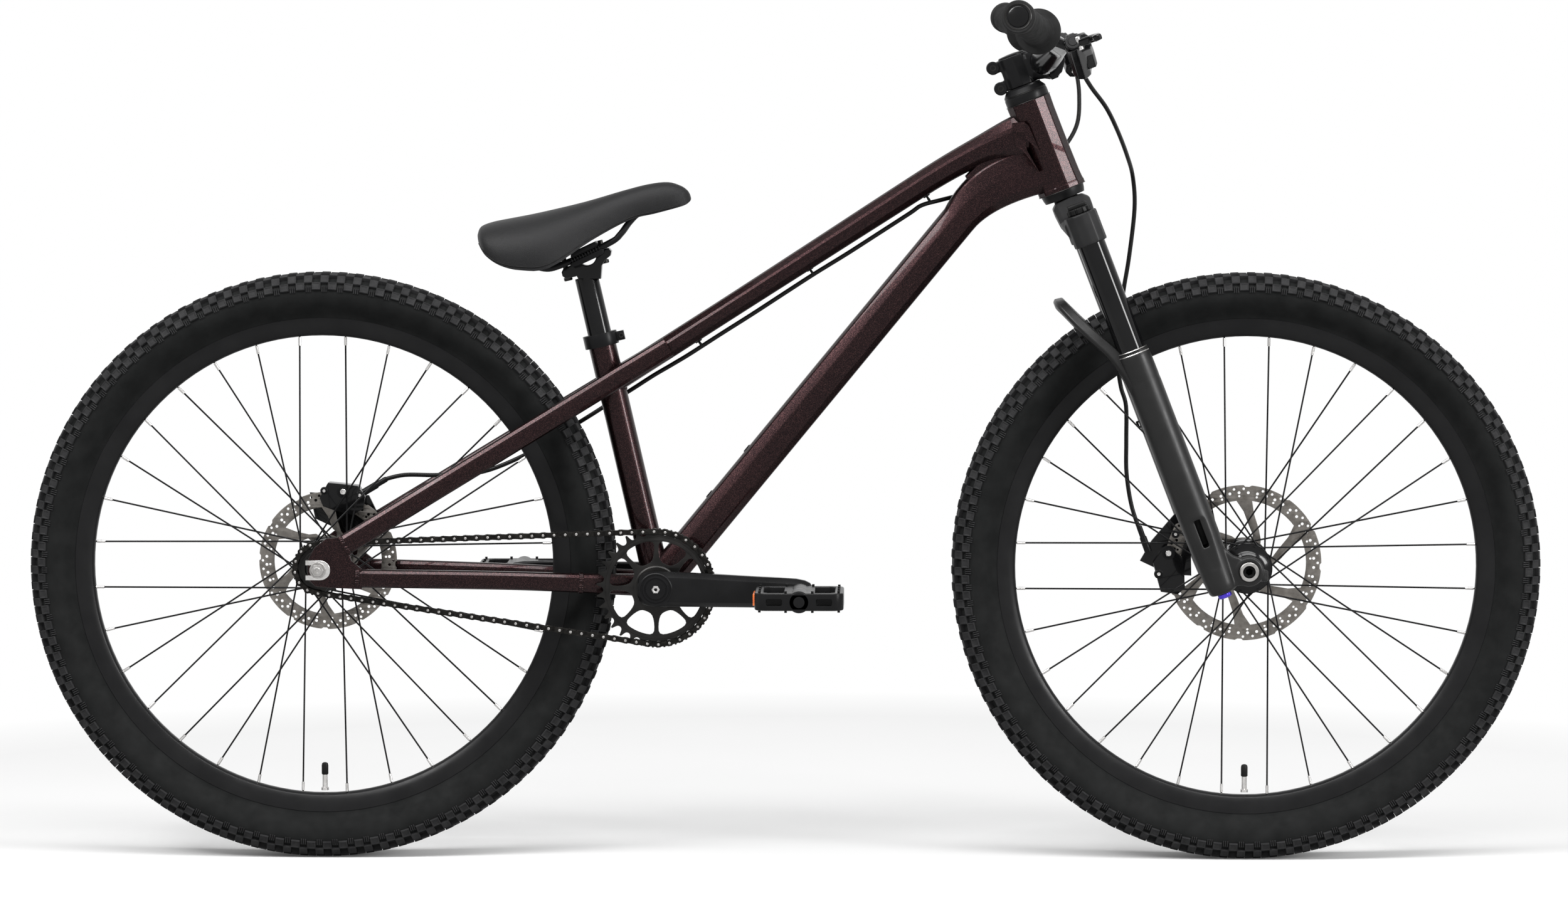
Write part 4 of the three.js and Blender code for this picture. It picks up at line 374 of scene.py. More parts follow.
# A socket-head bolt along Z with its head's top at the origin.
def bolt(name, radius, depth):
    key = radius * 0.5
    return turned(name, [(0, -depth * 0.6), (key, -depth * 0.6), (key, -0.1), (key * 1.1, 0),
                         (radius * 0.85, 0), (radius, -depth * 0.25), (radius, -depth), (0, -depth)], 12,
                  angle=35)


# Grooves round a knob: corners beyond a radius move in where the test passes their distance from
# the nearest of the even spots and their place.
def grooved(piece, spots, beyond, share, test, across=(0, 1)):
    for corner in piece.data.vertices:
        a, b = (corner.co[axis] for axis in across)
        turn = math.atan2(b, a) * spots / (2 * math.pi)
        if math.hypot(a, b) > beyond * MM and test(abs(turn - round(turn)), corner.co):
            for axis in across:
                corner.co[axis] *= share
    return piece


# A CAD piece's own shape as a new piece, its loose triangles merged and its flats cleaned.
def refined(name, node, edge=0.0, segments=2, angle=30):
    piece = copied(nodes[node])
    for key in list(piece.keys()):
        del piece[key]
    piece.parent = None
    piece.name = piece.data.name = name
    edit_all(piece)
    bpy.ops.mesh.customdata_custom_splitnormals_clear()
    bpy.ops.mesh.remove_doubles(threshold=1e-5)
    bpy.ops.mesh.dissolve_limited(angle_limit=math.radians(1))
    bpy.ops.object.mode_set(mode="OBJECT")
    if edge:
        softened(piece, edge, segments, angle)
    return shaded(piece, 40)


def finished(piece, body, slot, material, *replaced):
    piece.data.materials.clear()
    piece.data.materials.append(material)
    if replaced:
        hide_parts(*replaced)
    if body:
        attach(piece, body)
    return piece


# Materials

def feed(tree, socket, value):
    if isinstance(value, bpy.types.NodeSocket):
        tree.links.new(value, socket)
    else:
        socket.default_value = value


def node_of(tree, kind, sockets, **settings):
    node = tree.nodes.new("ShaderNode" + kind)
    for key, value in settings.items():
        setattr(node, key, value)
    for socket, value in sockets.items():
        feed(tree, node.inputs[socket], value)
    return node


def shader_of(name):
    material = bpy.data.materials.new(name)
    material.use_nodes = True
    tree = material.node_tree
    return material, tree, tree.nodes["Principled BSDF"], node_of(tree, "TexCoord", {}).outputs["Object"]


def noise(tree, place, scale, detail=3.0):
    return node_of(tree, "TexNoise", {"Vector": place, "Scale": scale, "Detail": detail}).outputs["Fac"]


def between(tree, factor, low, high, start=0.35, end=0.65):
    return node_of(tree, "MapRange", {"Value": factor, "From Min": start, "From Max": end,
                                      "To Min": low, "To Max": high}).outputs["Result"]


def tinted(tree, factor, dark, light):
    ramp = node_of(tree, "ValToRGB", {"Fac": factor})
    for element, position, colour in zip(ramp.color_ramp.elements, (0.3, 0.7), (dark, light)):
        element.position = position
        element.color = (*colour, 1)
    return ramp.outputs["Color"]


def raised(tree, shader, height, strength, distance):
    bump = node_of(tree, "Bump", {"Height": height, "Strength": strength, "Distance": distance * MM})
    tree.links.new(bump.outputs["Normal"], shader.inputs["Normal"])


def grey(value, blue=0.0):
    return value, value, value + blue


# A finish whose colour drifts between two shades, whose roughness is smudged, and whose skin is
# pebbled at the given grain in millimetres.
def surface(name, dark, light, rough, grain, height, strength=0.3, metal=0.0, specular=0.5, coat=0.0,
            patch=30.0):
    material, tree, shader, place = shader_of(name)
    raised(tree, shader, noise(tree, place, 1000 / grain, 2), strength, height)
    sockets = {"Base Color": tinted(tree, noise(tree, place, patch), dark, light),
               "Roughness": between(tree, noise(tree, place, patch * 2.3, 5), *rough),
               "Metallic": metal, "Specular IOR Level": specular, "Coat Weight": coat, "Coat Roughness": 0.03}
    for socket, value in sockets.items():
        feed(tree, shader.inputs[socket], value)
    return material


# Dark burgundy paint: tiny flakes that each face their own way and colour, under clear lacquer.
def sparkle_paint():
    material, tree, shader, place = shader_of("burgundy sparkle paint")
    flakes = node_of(tree, "TexVoronoi", {"Vector": place, "Scale": 3200}).outputs["Color"]
    parts = node_of(tree, "SeparateColor", {"Color": flakes}).outputs
    base = tinted(tree, noise(tree, place, 14), (0.0042, 0.0013, 0.0019), (0.0070, 0.0021, 0.0028))
    flake = {"A": base, "B": (0.078, 0.036, 0.035, 1), "Factor": between(tree, parts["Red"], 0, 1, 0.76, 1.0)}
    sockets = {"Base Color": node_of(tree, "Mix", flake, data_type="RGBA").outputs["Result"],
               "Roughness": between(tree, parts["Green"], 0.26, 0.40, 0, 1),
               "Metallic": 0.92, "Coat Weight": 0.14, "Coat Roughness": 0.05}
    for socket, value in sockets.items():
        feed(tree, shader.inputs[socket], value)
    raised(tree, shader, parts["Blue"], 0.15, 0.06)
    return material


paint = sparkle_paint()
satin_black = surface("satin black anodised alloy", grey(0.0033, 0.0003), grey(0.006, 0.0003), (0.30, 0.40),
                      0.5, 0.01, specular=0.1)
crown_black = surface("textured satin crown paint", grey(0.0083, 0.0003), grey(0.0128, 0.0003),
                      (0.38, 0.48), 0.8, 0.07, strength=0.5, specular=0.12)
lowers_black = surface("satin black fork paint", grey(0.0062), grey(0.0088), (0.34, 0.42), 1.4, 0.015,
                       specular=0.2)
gloss_black = surface("gloss black paint", grey(0.002, 0.0002), grey(0.0035, 0.0002), (0.14, 0.2), 2.5, 0.01,
                      specular=0.12, coat=0.12)
stanchion_black = surface("polished black stanchion", grey(0.0015, 0.0003), grey(0.003, 0.0002),
                          (0.08, 0.12), 1.8, 0.005, specular=0.12, coat=0.15, patch=18)
crank_black = surface("semi-gloss black crank plating", grey(0.0035, 0.0002), grey(0.006, 0.0003),
                      (0.26, 0.32), 0.9, 0.008, specular=0.1)
rim_black = surface("satin black rim", grey(0.0054, 0.0003), grey(0.0078, 0.0003), (0.28, 0.36), 1.1, 0.01,
                    specular=0.1)
ring_black = surface("dark plated sprocket steel", (0.010, 0.0098, 0.0095), (0.024, 0.023, 0.022),
                     (0.26, 0.38), 0.8, 0.015, metal=0.7, specular=0.2)
tyre_black = surface("black tyre rubber", (0.006, 0.0063, 0.0063), (0.0096, 0.0099, 0.0099), (0.6, 0.75),
                     1.3, 0.08, strength=0.5, specular=0.04, patch=45)
# painted light: the tread blocks' rubber is coloured about twice as light as the sidewall's, for the light that
# falls on the blocks' upward faces
knob_black_painted_light = surface("black tread rubber", grey(0.0105, 0.0005), grey(0.020, 0.0005), (0.55, 0.7), 1.6, 0.15,
                     strength=0.6, specular=0.08, patch=70)
grip_black = surface("matt grip rubber", grey(0.0084), grey(0.014), (0.62, 0.78), 0.9, 0.12, strength=0.6,
                     specular=0.07, patch=60)
saddle_black = surface("matt saddle cover", grey(0.0022, 0.0002), grey(0.0085, 0.0005), (0.42, 0.54), 0.5,
                       0.25, strength=0.9, specular=0.14, patch=1400)
sheath_black = surface("satin hose sheath", grey(0.003), grey(0.005), (0.26, 0.36), 1.5, 0.01,
                       specular=0.14, patch=80)
plastic_black = surface("moulded black plastic", grey(0.0048), grey(0.0084), (0.36, 0.5), 0.8, 0.03,
                        strength=0.5, specular=0.1, patch=90)
rotor_steel = surface("ground rotor steel", (0.13, 0.12, 0.108), (0.21, 0.197, 0.182), (0.26, 0.38), 0.5,
                      0.02, metal=1.0, patch=120)
chain_plates = surface("dark oiled chain plates", (0.0075, 0.0072, 0.0068), (0.021, 0.020, 0.0185),
                       (0.25, 0.38), 0.9, 0.02, metal=0.9, specular=0.15, patch=220)
bright_steel = surface("bright plated steel", (0.46, 0.45, 0.44), (0.62, 0.61, 0.60), (0.16, 0.28), 0.9, 0.02,
                       metal=1.0, patch=160)
brushed_alloy = surface("brushed grey alloy", (0.30, 0.29, 0.28), (0.42, 0.41, 0.40), (0.24, 0.36), 0.5, 0.02,
                        metal=1.0, patch=90)
violet = surface("violet anodised alloy", (0.045, 0.028, 0.36), (0.075, 0.045, 0.52), (0.2, 0.3), 0.6, 0.01,
                 metal=0.75, patch=120)
amber = surface("amber reflector plastic", (0.62, 0.10, 0.01), (0.78, 0.18, 0.02), (0.12, 0.22), 2.0, 0.35,
                strength=0.7, coat=0.4, patch=200)
# painted shade: the axle sockets are coloured darker than the other black metal, for the shade in their bores
painted_shade_bore = surface("shadowed black bore", grey(0.002), grey(0.004), (0.6, 0.8), 1.0, 0.02, specular=0.05)


# Stage, light and camera

# A vector's length or its size along each axis.
def measured(tree, vector, operation):
    outputs = node_of(tree, "VectorMath", {0: vector}, operation=operation).outputs
    return outputs["Value" if operation == "LENGTH" else "Vector"]


# The floor turns to plain white away from the bike, and less so close to where the wheels stand,
# so that it keeps their shadow.
def floor():
    bpy.ops.mesh.primitive_circle_add(vertices=96, radius=14, fill_type="NGON", location=(0, 0, 0))
    ground = tidy(named("studio_floor"))
    material, tree, shader, place = shader_of("pale studio floor")
    for socket, value in {"Base Color": tinted(tree, noise(tree, place, 3), grey(0.54), grey(0.56)),
                          "Roughness": 0.9, "Specular IOR Level": 0.0}.items():
        feed(tree, shader.inputs[socket], value)
    far = between(tree, measured(tree, place, "LENGTH"), 0, 1, 0.95, 1.7)
    from_contact = node_of(tree, "VectorMath",
                           {0: measured(tree, place, "ABSOLUTE"), 1: (abs(rear_axle.x), 0, 0)},
                           operation="SUBTRACT").outputs["Vector"]
    near = between(tree, measured(tree, from_contact, "LENGTH"), 0.05, 0.6, 0.04, 0.36)
    share = node_of(tree, "Math", {0: far, 1: near}, operation="MAXIMUM").outputs["Value"]
    mix = node_of(tree, "MixShader", {"Fac": share, 1: shader.outputs["BSDF"],
                                      2: node_of(tree, "Emission", {}).outputs["Emission"]})
    tree.links.new(mix.outputs["Shader"], tree.nodes["Material Output"].inputs["Surface"])
    ground.data.materials.append(material)


def backdrop():
    world = bpy.data.worlds.new("studio")
    bpy.context.scene.world = world
    world.use_nodes = True
    tree = world.node_tree
    rays = node_of(tree, "LightPath", {}).outputs
    seen = rays["Is Camera Ray"]
    for name in ("Is Glossy Ray", "Is Transmission Ray"):
        seen = node_of(tree, "Math", {0: seen, 1: rays[name]}, operation="MAXIMUM").outputs[0]
    dim, white = (node_of(tree, "Background",
                          {"Color": (1, 1, 1, 1), "Strength": strength}).outputs["Background"]
                  for strength in (0.25, 1.0))
    mix = node_of(tree, "MixShader", {"Fac": seen, 1: dim, 2: white})
    tree.links.new(mix.outputs["Shader"], tree.nodes["World Output"].inputs["Surface"])


def softbox(name, place, aim, width, height, watts):
    bpy.ops.object.light_add(type="AREA", location=place)
    lamp = bpy.context.object
    lamp.name = name
    lamp.data.shape = "RECTANGLE"
    lamp.data.size = width
    lamp.data.size_y = height
    lamp.data.energy = watts
    lamp.rotation_euler = (Vector(aim) - Vector(place)).to_track_quat("-Z", "Y").to_euler()


def camera():
    bpy.ops.object.camera_add(location=(0.1244, -6.840, 0.9583))
    lens = bpy.context.object
    lens.name = "photo camera"
    lens.data.lens = 137.1
    lens.data.sensor_width = 36
    lens.rotation_euler = (Vector((0, 0, 0.4647)) - lens.location).to_track_quat("-Z", "Y").to_euler()
    bpy.context.scene.camera = lens
    bpy.context.scene.view_settings.view_transform = "Standard"


floor()
backdrop()
softbox("ceiling softbox", (0.2, -1.2, 3.0), (0.1, 0, 0.4), 4.2, 0.7, 150)
softbox("upper left softbox", (-2.7, -2.1, 3.3), (0, 0, 0.6), 2.0, 1.2, 165)
softbox("front strip", (3.65, -2.1, 1.75), (0.36, 0, 0.8), 0.8, 2.0, 170)
camera()


# Wheels, each modelled about its own axle at the origin

spoke_count = 32
spoke_lean = 2 * math.pi * 3 / (spoke_count / 2)
knob_rows = 110


def tyre_carcass():
    side = [(283.5, 12.6), (286.5, 13.1), (290.5, 15.4), (296, 20.5), (303, 25.2), (310, 27.6),
            (316, 28.1), (321.5, 26.8), (326, 23.6), (329.5, 18.4), (331.6, 11.0), (332.4, 4.0)]
    return ringed("tyre", [(r, -y) for r, y in side] + side[::-1], 128, "Y", 60)


# A tread block with a bevelled top and, where it has one, a groove round its middle.
def tread_block(length, width, height, sipe=False):
    knob = block("tread_block", (length, width, height))
    choose_faces(knob, lambda face: face.normal.z > 0.5)
    bpy.ops.mesh.inset(thickness=0.6 * MM, depth=0.0)
    bpy.ops.transform.translate(value=(0, 0, 0.5 * MM))
    if sipe:
        bpy.ops.mesh.inset(thickness=width * 0.18 * MM, depth=-0.6 * MM)
    choose_faces(knob, lambda face: face.normal.z < -0.5)
    bpy.ops.mesh.delete(type="FACE")
    bpy.ops.object.mode_set(mode="OBJECT")
    return knob


# One pitch of the tread, copied round the tyre: a centre pair beside square shoulder blocks, then,
# half a pitch on, a transition pair beside edge blocks, with three thin ribs between those. Each
# block comes with its step round the tyre, its place across it, its radius and its lean.
def tread():
    rib = tread_block(1.3, 6.4, 2.0)
    laid = [(tread_block(9.4, 7.4, 5.4, True), 0, 4.5, 334.4, 4),
            (tread_block(9.4, 11.0, 5.4, True), 0, 20.9, 328.4, 44),
            (tread_block(9.0, 7.6, 5.2), 0.5, 12.9, 332.9, 16),
            (tread_block(10.0, 8.8, 4.4, True), 0.5, 26.2, 321.6, 70)]
    ribs = [(rib, step, 27.6, 318.6, 84) for step in (-0.13, 0, 0.13)]
    pitch = joined("tread_pitch", [
        copied(knob, spun(360 * step / knob_rows, "Y") @ shift(0, side * y, radius) @ spun(-side * lean, "X"))
        for side in (-1, 1) for knob, step, y, radius, lean in laid + ribs])
    pieces = [copied(pitch, spun(360 * (row + 0.25) / knob_rows, "Y")) for row in range(knob_rows)]
    discard(rib, pitch, *(row[0] for row in laid))
    return joined("tread", pieces)


def rim():
    half = [(264.2, 0), (264.6, 5.6), (267.4, 8.6), (272.6, 10.4), (277.2, 12.2), (282.2, 12.9),
            (285.0, 13.3), (285.5, 12.8), (285.2, 11.9), (279.5, 11.6), (278.2, 8.5)]
    return ringed("rim", [(r, -y) for r, y in half[::-1]] + half[1:], 128, "Y", 40)


# Crossed spokes with their heads in the hub's flanges, and their nipples in the rim.
def spokes(flanges):
    wires, nipples = [], []
    for i in range(spoke_count):
        side = 1 if i % 2 else -1
        way = 1 if (i // 2) % 2 else -1
        rim_angle = 2 * math.pi * (-0.25 + (i + 0.5) / spoke_count)
        (hub_x, hub_z), (rim_x, rim_z) = polar(25, rim_angle - way * spoke_lean), polar(264.5, rim_angle)
        hub = Vector((hub_x, flanges[i % 2] + way * 1.6, hub_z)) * MM
        end = Vector((rim_x, side * 3.6 + way * 0.9, rim_z)) * MM
        out = (end - hub).normalized()
        head_half = Vector((0, way * 0.0014, 0))
        wires += [rod("spoke", [hub, hub.lerp(end, 0.5), end], 1.0, 8),
                  rod("spoke_head", [hub - head_half, hub + head_half], 2.1, 8)]
        nipples.append(rod("nipple", [end - out * back for back in (0.0105, 0.0098, 0.001)], 1.7, 8))
    return joined("spokes", wires), joined("nipples", nipples)


front_hub_profile = [
    (10.6, -54.6), (17.5, -54.6), (19.5, -53.0), (19.8, -46), (18.0, -44), (18.4, -38.5), (20.6, -36.4),
    (28.2, -34.1), (29, -33.2), (29, -30.8), (28.2, -29.9), (21, -27.2), (18.2, -22), (17.6, 0), (18.2, 18),
    (21, 23.2), (28.2, 25.9), (29, 26.8), (29, 29.2), (28.2, 30.1), (23.5, 32), (24.0, 39.4), (17.6, 39.6),
    (17.6, 42.4), (16.0, 46), (15.6, 54.6), (10.6, 54.6)]
rear_hub_profile = [
    (7.2, -53.0), (15.8, -53.0), (16.4, -41.4), (21, -40.2), (21.5, -36.5), (28.2, -34.1), (29, -33.2),
    (29, -30.8), (28.2, -29.9), (23, -27.0), (20.4, -20), (19.8, 0), (20.4, 20), (23, 27.0), (28.2, 29.9),
    (29, 30.8), (29, 33.2), (28.2, 34.1), (24.5, 36), (25.0, 50.6), (17.6, 51.0), (17.6, 53.8), (14.0, 53.9),
    (7.2, 53.9)]


# A brake rotor: notched outer edge, three rows of round holes in its track, six swept arms with a
# rounded window between each pair, and six bolts on each side.
def rotor(radius, y):
    track = radius - 15.5
    turn = math.pi / 3
    outline, holes, heads = [], [], []
    for notch in range(12):
        start = notch * turn / 2
        outline += arc_points(radius, start, start + turn * 0.40, 8)
        outline += arc_points(radius - 1.8, start + turn * 0.43, start + turn * 0.48, 3)
    outer_row = 4.2
    for depth, count, size, offset in ((outer_row, 48, 1.55, 0), (8.6, 48, 1.75, 0.5),
                                       (12.6, 24, 1.35, 0.25)):
        holes += [ring_points(size, 9, polar(radius - depth, 2 * math.pi * (i + offset) / count))
                  for i in range(count) if depth > outer_row or i % 4 < 3]
    for arm in range(6):
        start = arm * turn
        back, front = ([polar(reach, start + turn * share) for reach, share in edge] for edge in (
            ((track * 0.78, 0.30), (track * 0.58, 0.10), (34.0, -0.10)),
            ((34.5, -0.80), (track * 0.58, -0.64), (track * 0.80, -0.50))))
        holes.append(arc_points(track - 2.2, start - turn * 0.39, start + turn * 0.37, 12) + back
                     + arc_points(29.5, start - turn * 0.20, start - turn * 0.83, 6) + front)
        x, z = polar(22.4, turn * (arm + 0.5))
        heads += [apply_place(bolt("rotor_bolt", 3.6, 2.0),
                              shift(x, y + side * 2.6, z) @ spun(-90 * side, "X"))
                  for side in (1, -1)]
    holes.append(ring_points(17.8, 36))
    return plate("rotor", outline, 1.8, holes, 0.18, y), joined("rotor_bolts", heads)


def wheel(side, axle, hub_profile, flanges, rotor_radius, rotor_y):
    def put(piece, name, slot, material, *replaced):
        apply_place(piece, Matrix.Translation(axle))
        piece.name = piece.data.name = side + "_" + name
        finished(piece, side + "_wheel", slot, material, *replaced)

    put(tyre_carcass(), "tyre_carcass", "tyre_rubber", tyre_black, side + "_tyre")
    # painted light: the tread blocks take the lighter rubber colour that stands in for the light on them
    put(copied(tread_skin), "tread_blocks", "tyre_rubber", knob_black_painted_light)
    put(rim(), "wheel_rim", "rim_black", rim_black, side + "_rim")
    wires, nipples = spokes(flanges)
    put(ringed("hub_shell", hub_profile, 64, "Y"), "hub_shell", "hub_black", gloss_black, side + "_hub")
    put(wires, "spokes", "hub_black", satin_black)
    put(nipples, "spoke_nipples", "hub_black", bright_steel)
    disc, heads = rotor(rotor_radius, rotor_y)
    put(disc, "brake_rotor", "rotor_steel", rotor_steel, side + "_rotor")
    put(heads, "rotor_bolts", "steel", bright_steel)
    put(turned("valve_stem", [(0, -261.5), (4.4, -261.5), (4.4, -258.5), (3.0, -257.5), (3.0, -243.5),
                              (2.5, -242.8), (0, -242.8)], 20), "valve_stem", "valve_black", bright_steel,
        side + "_valve")
    put(turned("valve_cap", [(0, -243.2), (3.5, -243.2), (3.9, -242.4), (3.9, -232.6), (3.3, -230.2),
                             (1.6, -229.3), (0, -229.2)], 14), "valve_cap", "valve_black", plastic_black)


tread_skin = tread()
wheel("front", front_axle, front_hub_profile, (-32, 28), 90, 41)
wheel("rear", rear_axle, rear_hub_profile, (-32, 32), 80, 52.2)
discard(tread_skin)


# Frame

stay_length = 385.63
hub_half = 67.5
top_tube_wide, top_tube_tall = 34, 27.5
down_straight = 543
down_run = sloped(50.6)
top_start = crank_axle + seat_axis * 237.5 * MM
top_end = steered(0, 0, 70)


def top_tube_at(along, bow):
    return top_start.lerp(top_end, along) + Vector((0, 0, bow * (top_end - top_start).length))


def crank_to_part(points):
    return [(crank_axle.x / MM + x, y, crank_axle.z / MM + z, *rest) for x, y, z, *rest in points]


# Head tube: twelve flats with crisp corners between two round rims.
def head_tube():
    corners = [math.radians(15 + 30 * i + offset) for i in range(12) for offset in (-2.2, 2.2)]
    rings = []
    for z, radius, flat in ((0, 28.4, 0), (0.6, 28.7, 0), (4.4, 28.7, 0), (5.6, 28.0, 0.6), (7.4, 27.6, 1),
                            (16, 27.0, 1), (54, 26.2, 1), (92, 26.0, 1), (101, 26.2, 1), (103, 26.4, 0.6),
                            (104.4, 26.7, 0), (108.4, 26.7, 0), (109, 26.4, 0)):
        reach = radius * (1 - 0.012 * (1 - flat))
        rings.append([tuple(steered(*polar(reach, angle), z) / MM) for angle in corners])
    return skinned("head_tube_skin", rings, 12)


# Each place of the top tube: its share of the length, its bow upwards, and its height and width.
top_tube_places = [
    (0, 0, 0.95, 0.94), (0.26, 0.0126, 0.94, 0.97), (0.48, 0.0238, 0.98, 1), (0.63, 0.0316, 1.02, 1),
    (0.77, 0.0378, 1.06, 1.03), (0.865, 0.034, 1.22, 1.1), (0.94, 0.02, 1.75, 1.16), (1, 0, 2.25, 1.2),
]


def top_tube():
    stations = [(*(top_tube_at(min(along, 1), bow) / MM), top_tube_wide * wide, top_tube_tall * tall)
                for along, bow, tall, wide in smooth_path(top_tube_places, 5)]
    return swept("top_tube_skin", stations, facets(0.5, 0.42), angle=14)


# Half of the down tube's section from its top to its bottom: a narrow bevel, a broad upper facet
# that widens towards the head, the side and a lower bevel.
def down_tube_section(share):
    half = [(0.17, 0.5), (0.31, 0.425), (0.46, 0.15 - 0.20 * share), (0.5, -0.31), (0.31, -0.5)]
    return blunted(half + [(-x, y) for x, y in half[::-1]], 0.025)


# The down tube is straight to its bend near the head, where it grows upwards to meet the top tube.
def down_tube():
    bend = down_run * down_straight
    end = (steered(0, 0, 22) - crank_axle) / MM
    back = sloped(12)
    gap = end - bend
    knee = bend + down_run * ((gap.x * back.z - gap.z * back.x) / (down_run.x * back.z - down_run.z * back.x))
    places = [(bend * share, down_run, 0, 0) for share in (0, 0.12, 0.3, 0.5, 0.7, 0.82, 0.9, 0.96)]
    for i in range(15):
        t = i / 14
        at = bend * (1 - t) ** 2 + knee * 2 * t * (1 - t) + end * t * t
        ahead = ((knee - bend) * (1 - t) + (end - knee) * t).normalized()
        places.append((at, ahead, 16.5 * math.sin(math.pi / 2 * min(t / 0.8, 1)) ** 1.2, t))
    stations = [(*(at + Vector((-ahead.z, 0, ahead.x)) * growth / 2), 42, 40.3 + growth)
                for at, ahead, growth, _ in places]
    sections = [down_tube_section(share) for *_, share in places]
    return swept("down_tube_skin", crank_to_part(stations), sections, angle=14)


def seat_tube():
    return apply_place(ringed("seat_tube_skin",
                              [(13.8, 14), (15.9, 14), (15.9, 285.6), (15.5, 286), (13.8, 286)], 48), seat)


def bottom_bracket_shell():
    shell = ringed("shell_skin", [(17.1, -36.5), (20.4, -36.5), (21, -35.9), (21, 35.9), (20.4, 36.5),
                                  (17.1, 36.5)], 56, "Y")
    return apply_place(shell, Matrix.Translation(crank_axle))


def bearing_cups():
    notches = 16
    cup = ringed("cup", [(12.4, 36.8), (22.0, 36.8), (22.5, 37.3), (22.5, 44.6), (21.6, 45.8), (12.4, 45.8)],
                 notches * 4, "Y", 25)
    grooved(cup, notches, 21.5, 0.955, lambda off, at: off < 0.2 and 37.5 < at.y / MM < 45, (0, 2))
    return apply_place(paired("bearing_cups", cup), Matrix.Translation(crank_axle))


# Each place of a stay, as shares: its place, its distance from the middle plane, its height and width.
chainstay_places = [
    (0.045, 0.003, 0.36, 1.2, 1), (0.178, 0.01, 0.54, 1.06, 0.94), (0.275, 0.0145, 0.625, 1.02, 1),
    (0.43, 0.021, 0.73, 1, 1.04), (0.64, 0.0265, 0.86, 1, 1.04), (0.845, 0.031, 1.005, 0.98, 0.96),
    (0.885, 0.032, 1.02, 0.98, 0.96),
]
seatstay_places = [
    (0, 1.02, 1, 0.98), (0.057, 1.01, 1, 0.98), (0.274, 0.9, 1, 1), (0.481, 0.76, 1, 1),
    (0.641, 0.635, 1, 1), (0.734, 0.53, 1, 1), (0.837, 0.385, 1, 1), (0.985, 0.34, 0.97, 1),
]


# One bead of a weld, laid round a joint again and again like the scales of a fish.
def weld_beads(name, places, size):
    bpy.ops.mesh.primitive_uv_sphere_add(segments=10, ring_count=6, radius=1)
    bead = named("bead")
    grown = Matrix.Diagonal((size * 0.62 * MM, size * MM, size * 0.42 * MM, 1))
    beads = []
    for at, around, out in places:
        turn = Matrix((around, around.cross(out).normalized(), out)).transposed().to_4x4()
        beads.append(copied(bead, Matrix.Translation(at) @ turn @ grown))
    discard(bead)
    return tidy(joined(name, beads), 60)


# A stay with rings of beads where it is welded to its end pieces, at the given X.
def stay(name, places, collars):
    stations = crank_to_part(places)
    pieces = [swept(name, stations, facets(0.5, 0.45, 0.09), angle=16)]
    count = 26
    for x in collars:
        i = min(range(1, len(stations) - 1), key=lambda i: abs(stations[i][0] - x))
        at = Vector(stations[i][:3]) * MM
        ahead = (Vector(stations[i + 1][:3]) - Vector(stations[i - 1][:3])).normalized()
        side = (Vector((0, 1, 0)) - ahead * ahead.y).normalized()
        up = ahead.cross(side)
        ring = [side * a + up * b for a, b in oval(stations[i][3] * MM, stations[i][4] * MM, count, 3)]
        spots = []
        for k, reach in enumerate(ring):
            along = (ring[(k + 1) % count] - ring[k - 1]).normalized()
            spots.append((at + reach, along, along.cross(ahead)))
        pieces.append(weld_beads("stay_collar", spots, 3.0))
    return joined(name, pieces)


def chainstay(side):
    places = [(-back * stay_length, side * out * hub_half, up * stay_length, 15 * wide, 21 * tall)
              for back, up, out, tall, wide in smooth_path(chainstay_places, 4)]
    return stay("chainstay_skin", places, (-489, -231))


def seatstay(side):
    foot = Vector((-0.925 * stay_length, 0, 0.127 * stay_length))
    share = 0.147
    top = (top_tube_at(share, 0.0126 * share / 0.26) - crank_axle) / MM
    places = []
    for along, out, tall, wide in smooth_path(seatstay_places, 4):
        at = foot.lerp(top, along)
        places.append((at.x, side * out * hub_half, at.z, 16 * wide, 23.6 * tall))
    return stay("seatstay_skin", places, (-503,))


# The dropout: a plate with its slot open to the rear, wrapped by a bright U-shaped insert.
def dropout(side):
    quarter = math.pi / 2
    outline = [(x * 62, z * 52) for x, z in
               [(-0.19, -0.2), (-0.05, -0.36), (0.2, -0.39), (0.45, -0.4), (0.65, -0.41), (0.81, -0.42),
                (0.81, 0.02), (0.62, 0.2), (0.57, 0.42), (0.38, 0.72), (0.16, 0.7), (-0.06, 0.5),
                (-0.19, 0.22)]]
    body = plate("dropout_skin", outline, 6.6, (), 1.6, side * 71, 2)
    insert = [(-14, -11.4), (3, -11.4), *arc_points(11.4, -quarter, quarter, 14, (3, 0)), (-14, 11.4),
              (-14, 5.6), *arc_points(5.6, quarter, -quarter, 14, (3, 0)), (-14, -5.6)]
    bright = plate("dropout_insert", insert, 9.6, (), 0.9, side * 71, 2)
    return [apply_place(piece, Matrix.Translation(rear_axle)) for piece in (body, bright)]


# The beads lie where a tube's skin meets the surface that it ends on: rays from the tube's inside
# along its length find that surface.
def weld_round(name, wall, centre, heading, wide, tall, size, count):
    heading = heading.normalized()
    across = Vector((0, 1, 0))
    across = (across - heading * across.dot(heading)).normalized()
    up = heading.cross(across)
    spots, places = [], []
    for i in range(count):
        a, b = polar(MM / 2, 2 * math.pi * i / count)
        hit, at, normal, _ = wall.ray_cast(centre + across * a * wide + up * b * tall - heading * 0.06,
                                           heading)
        if hit:
            spots.append((at, normal))
    for i, (at, normal) in enumerate(spots):
        ahead = spots[(i + 1) % len(spots)][0] - spots[i - 1][0]
        places.append((at, (ahead - normal * ahead.dot(normal)).normalized(), normal))
    return weld_beads(name, places, size)


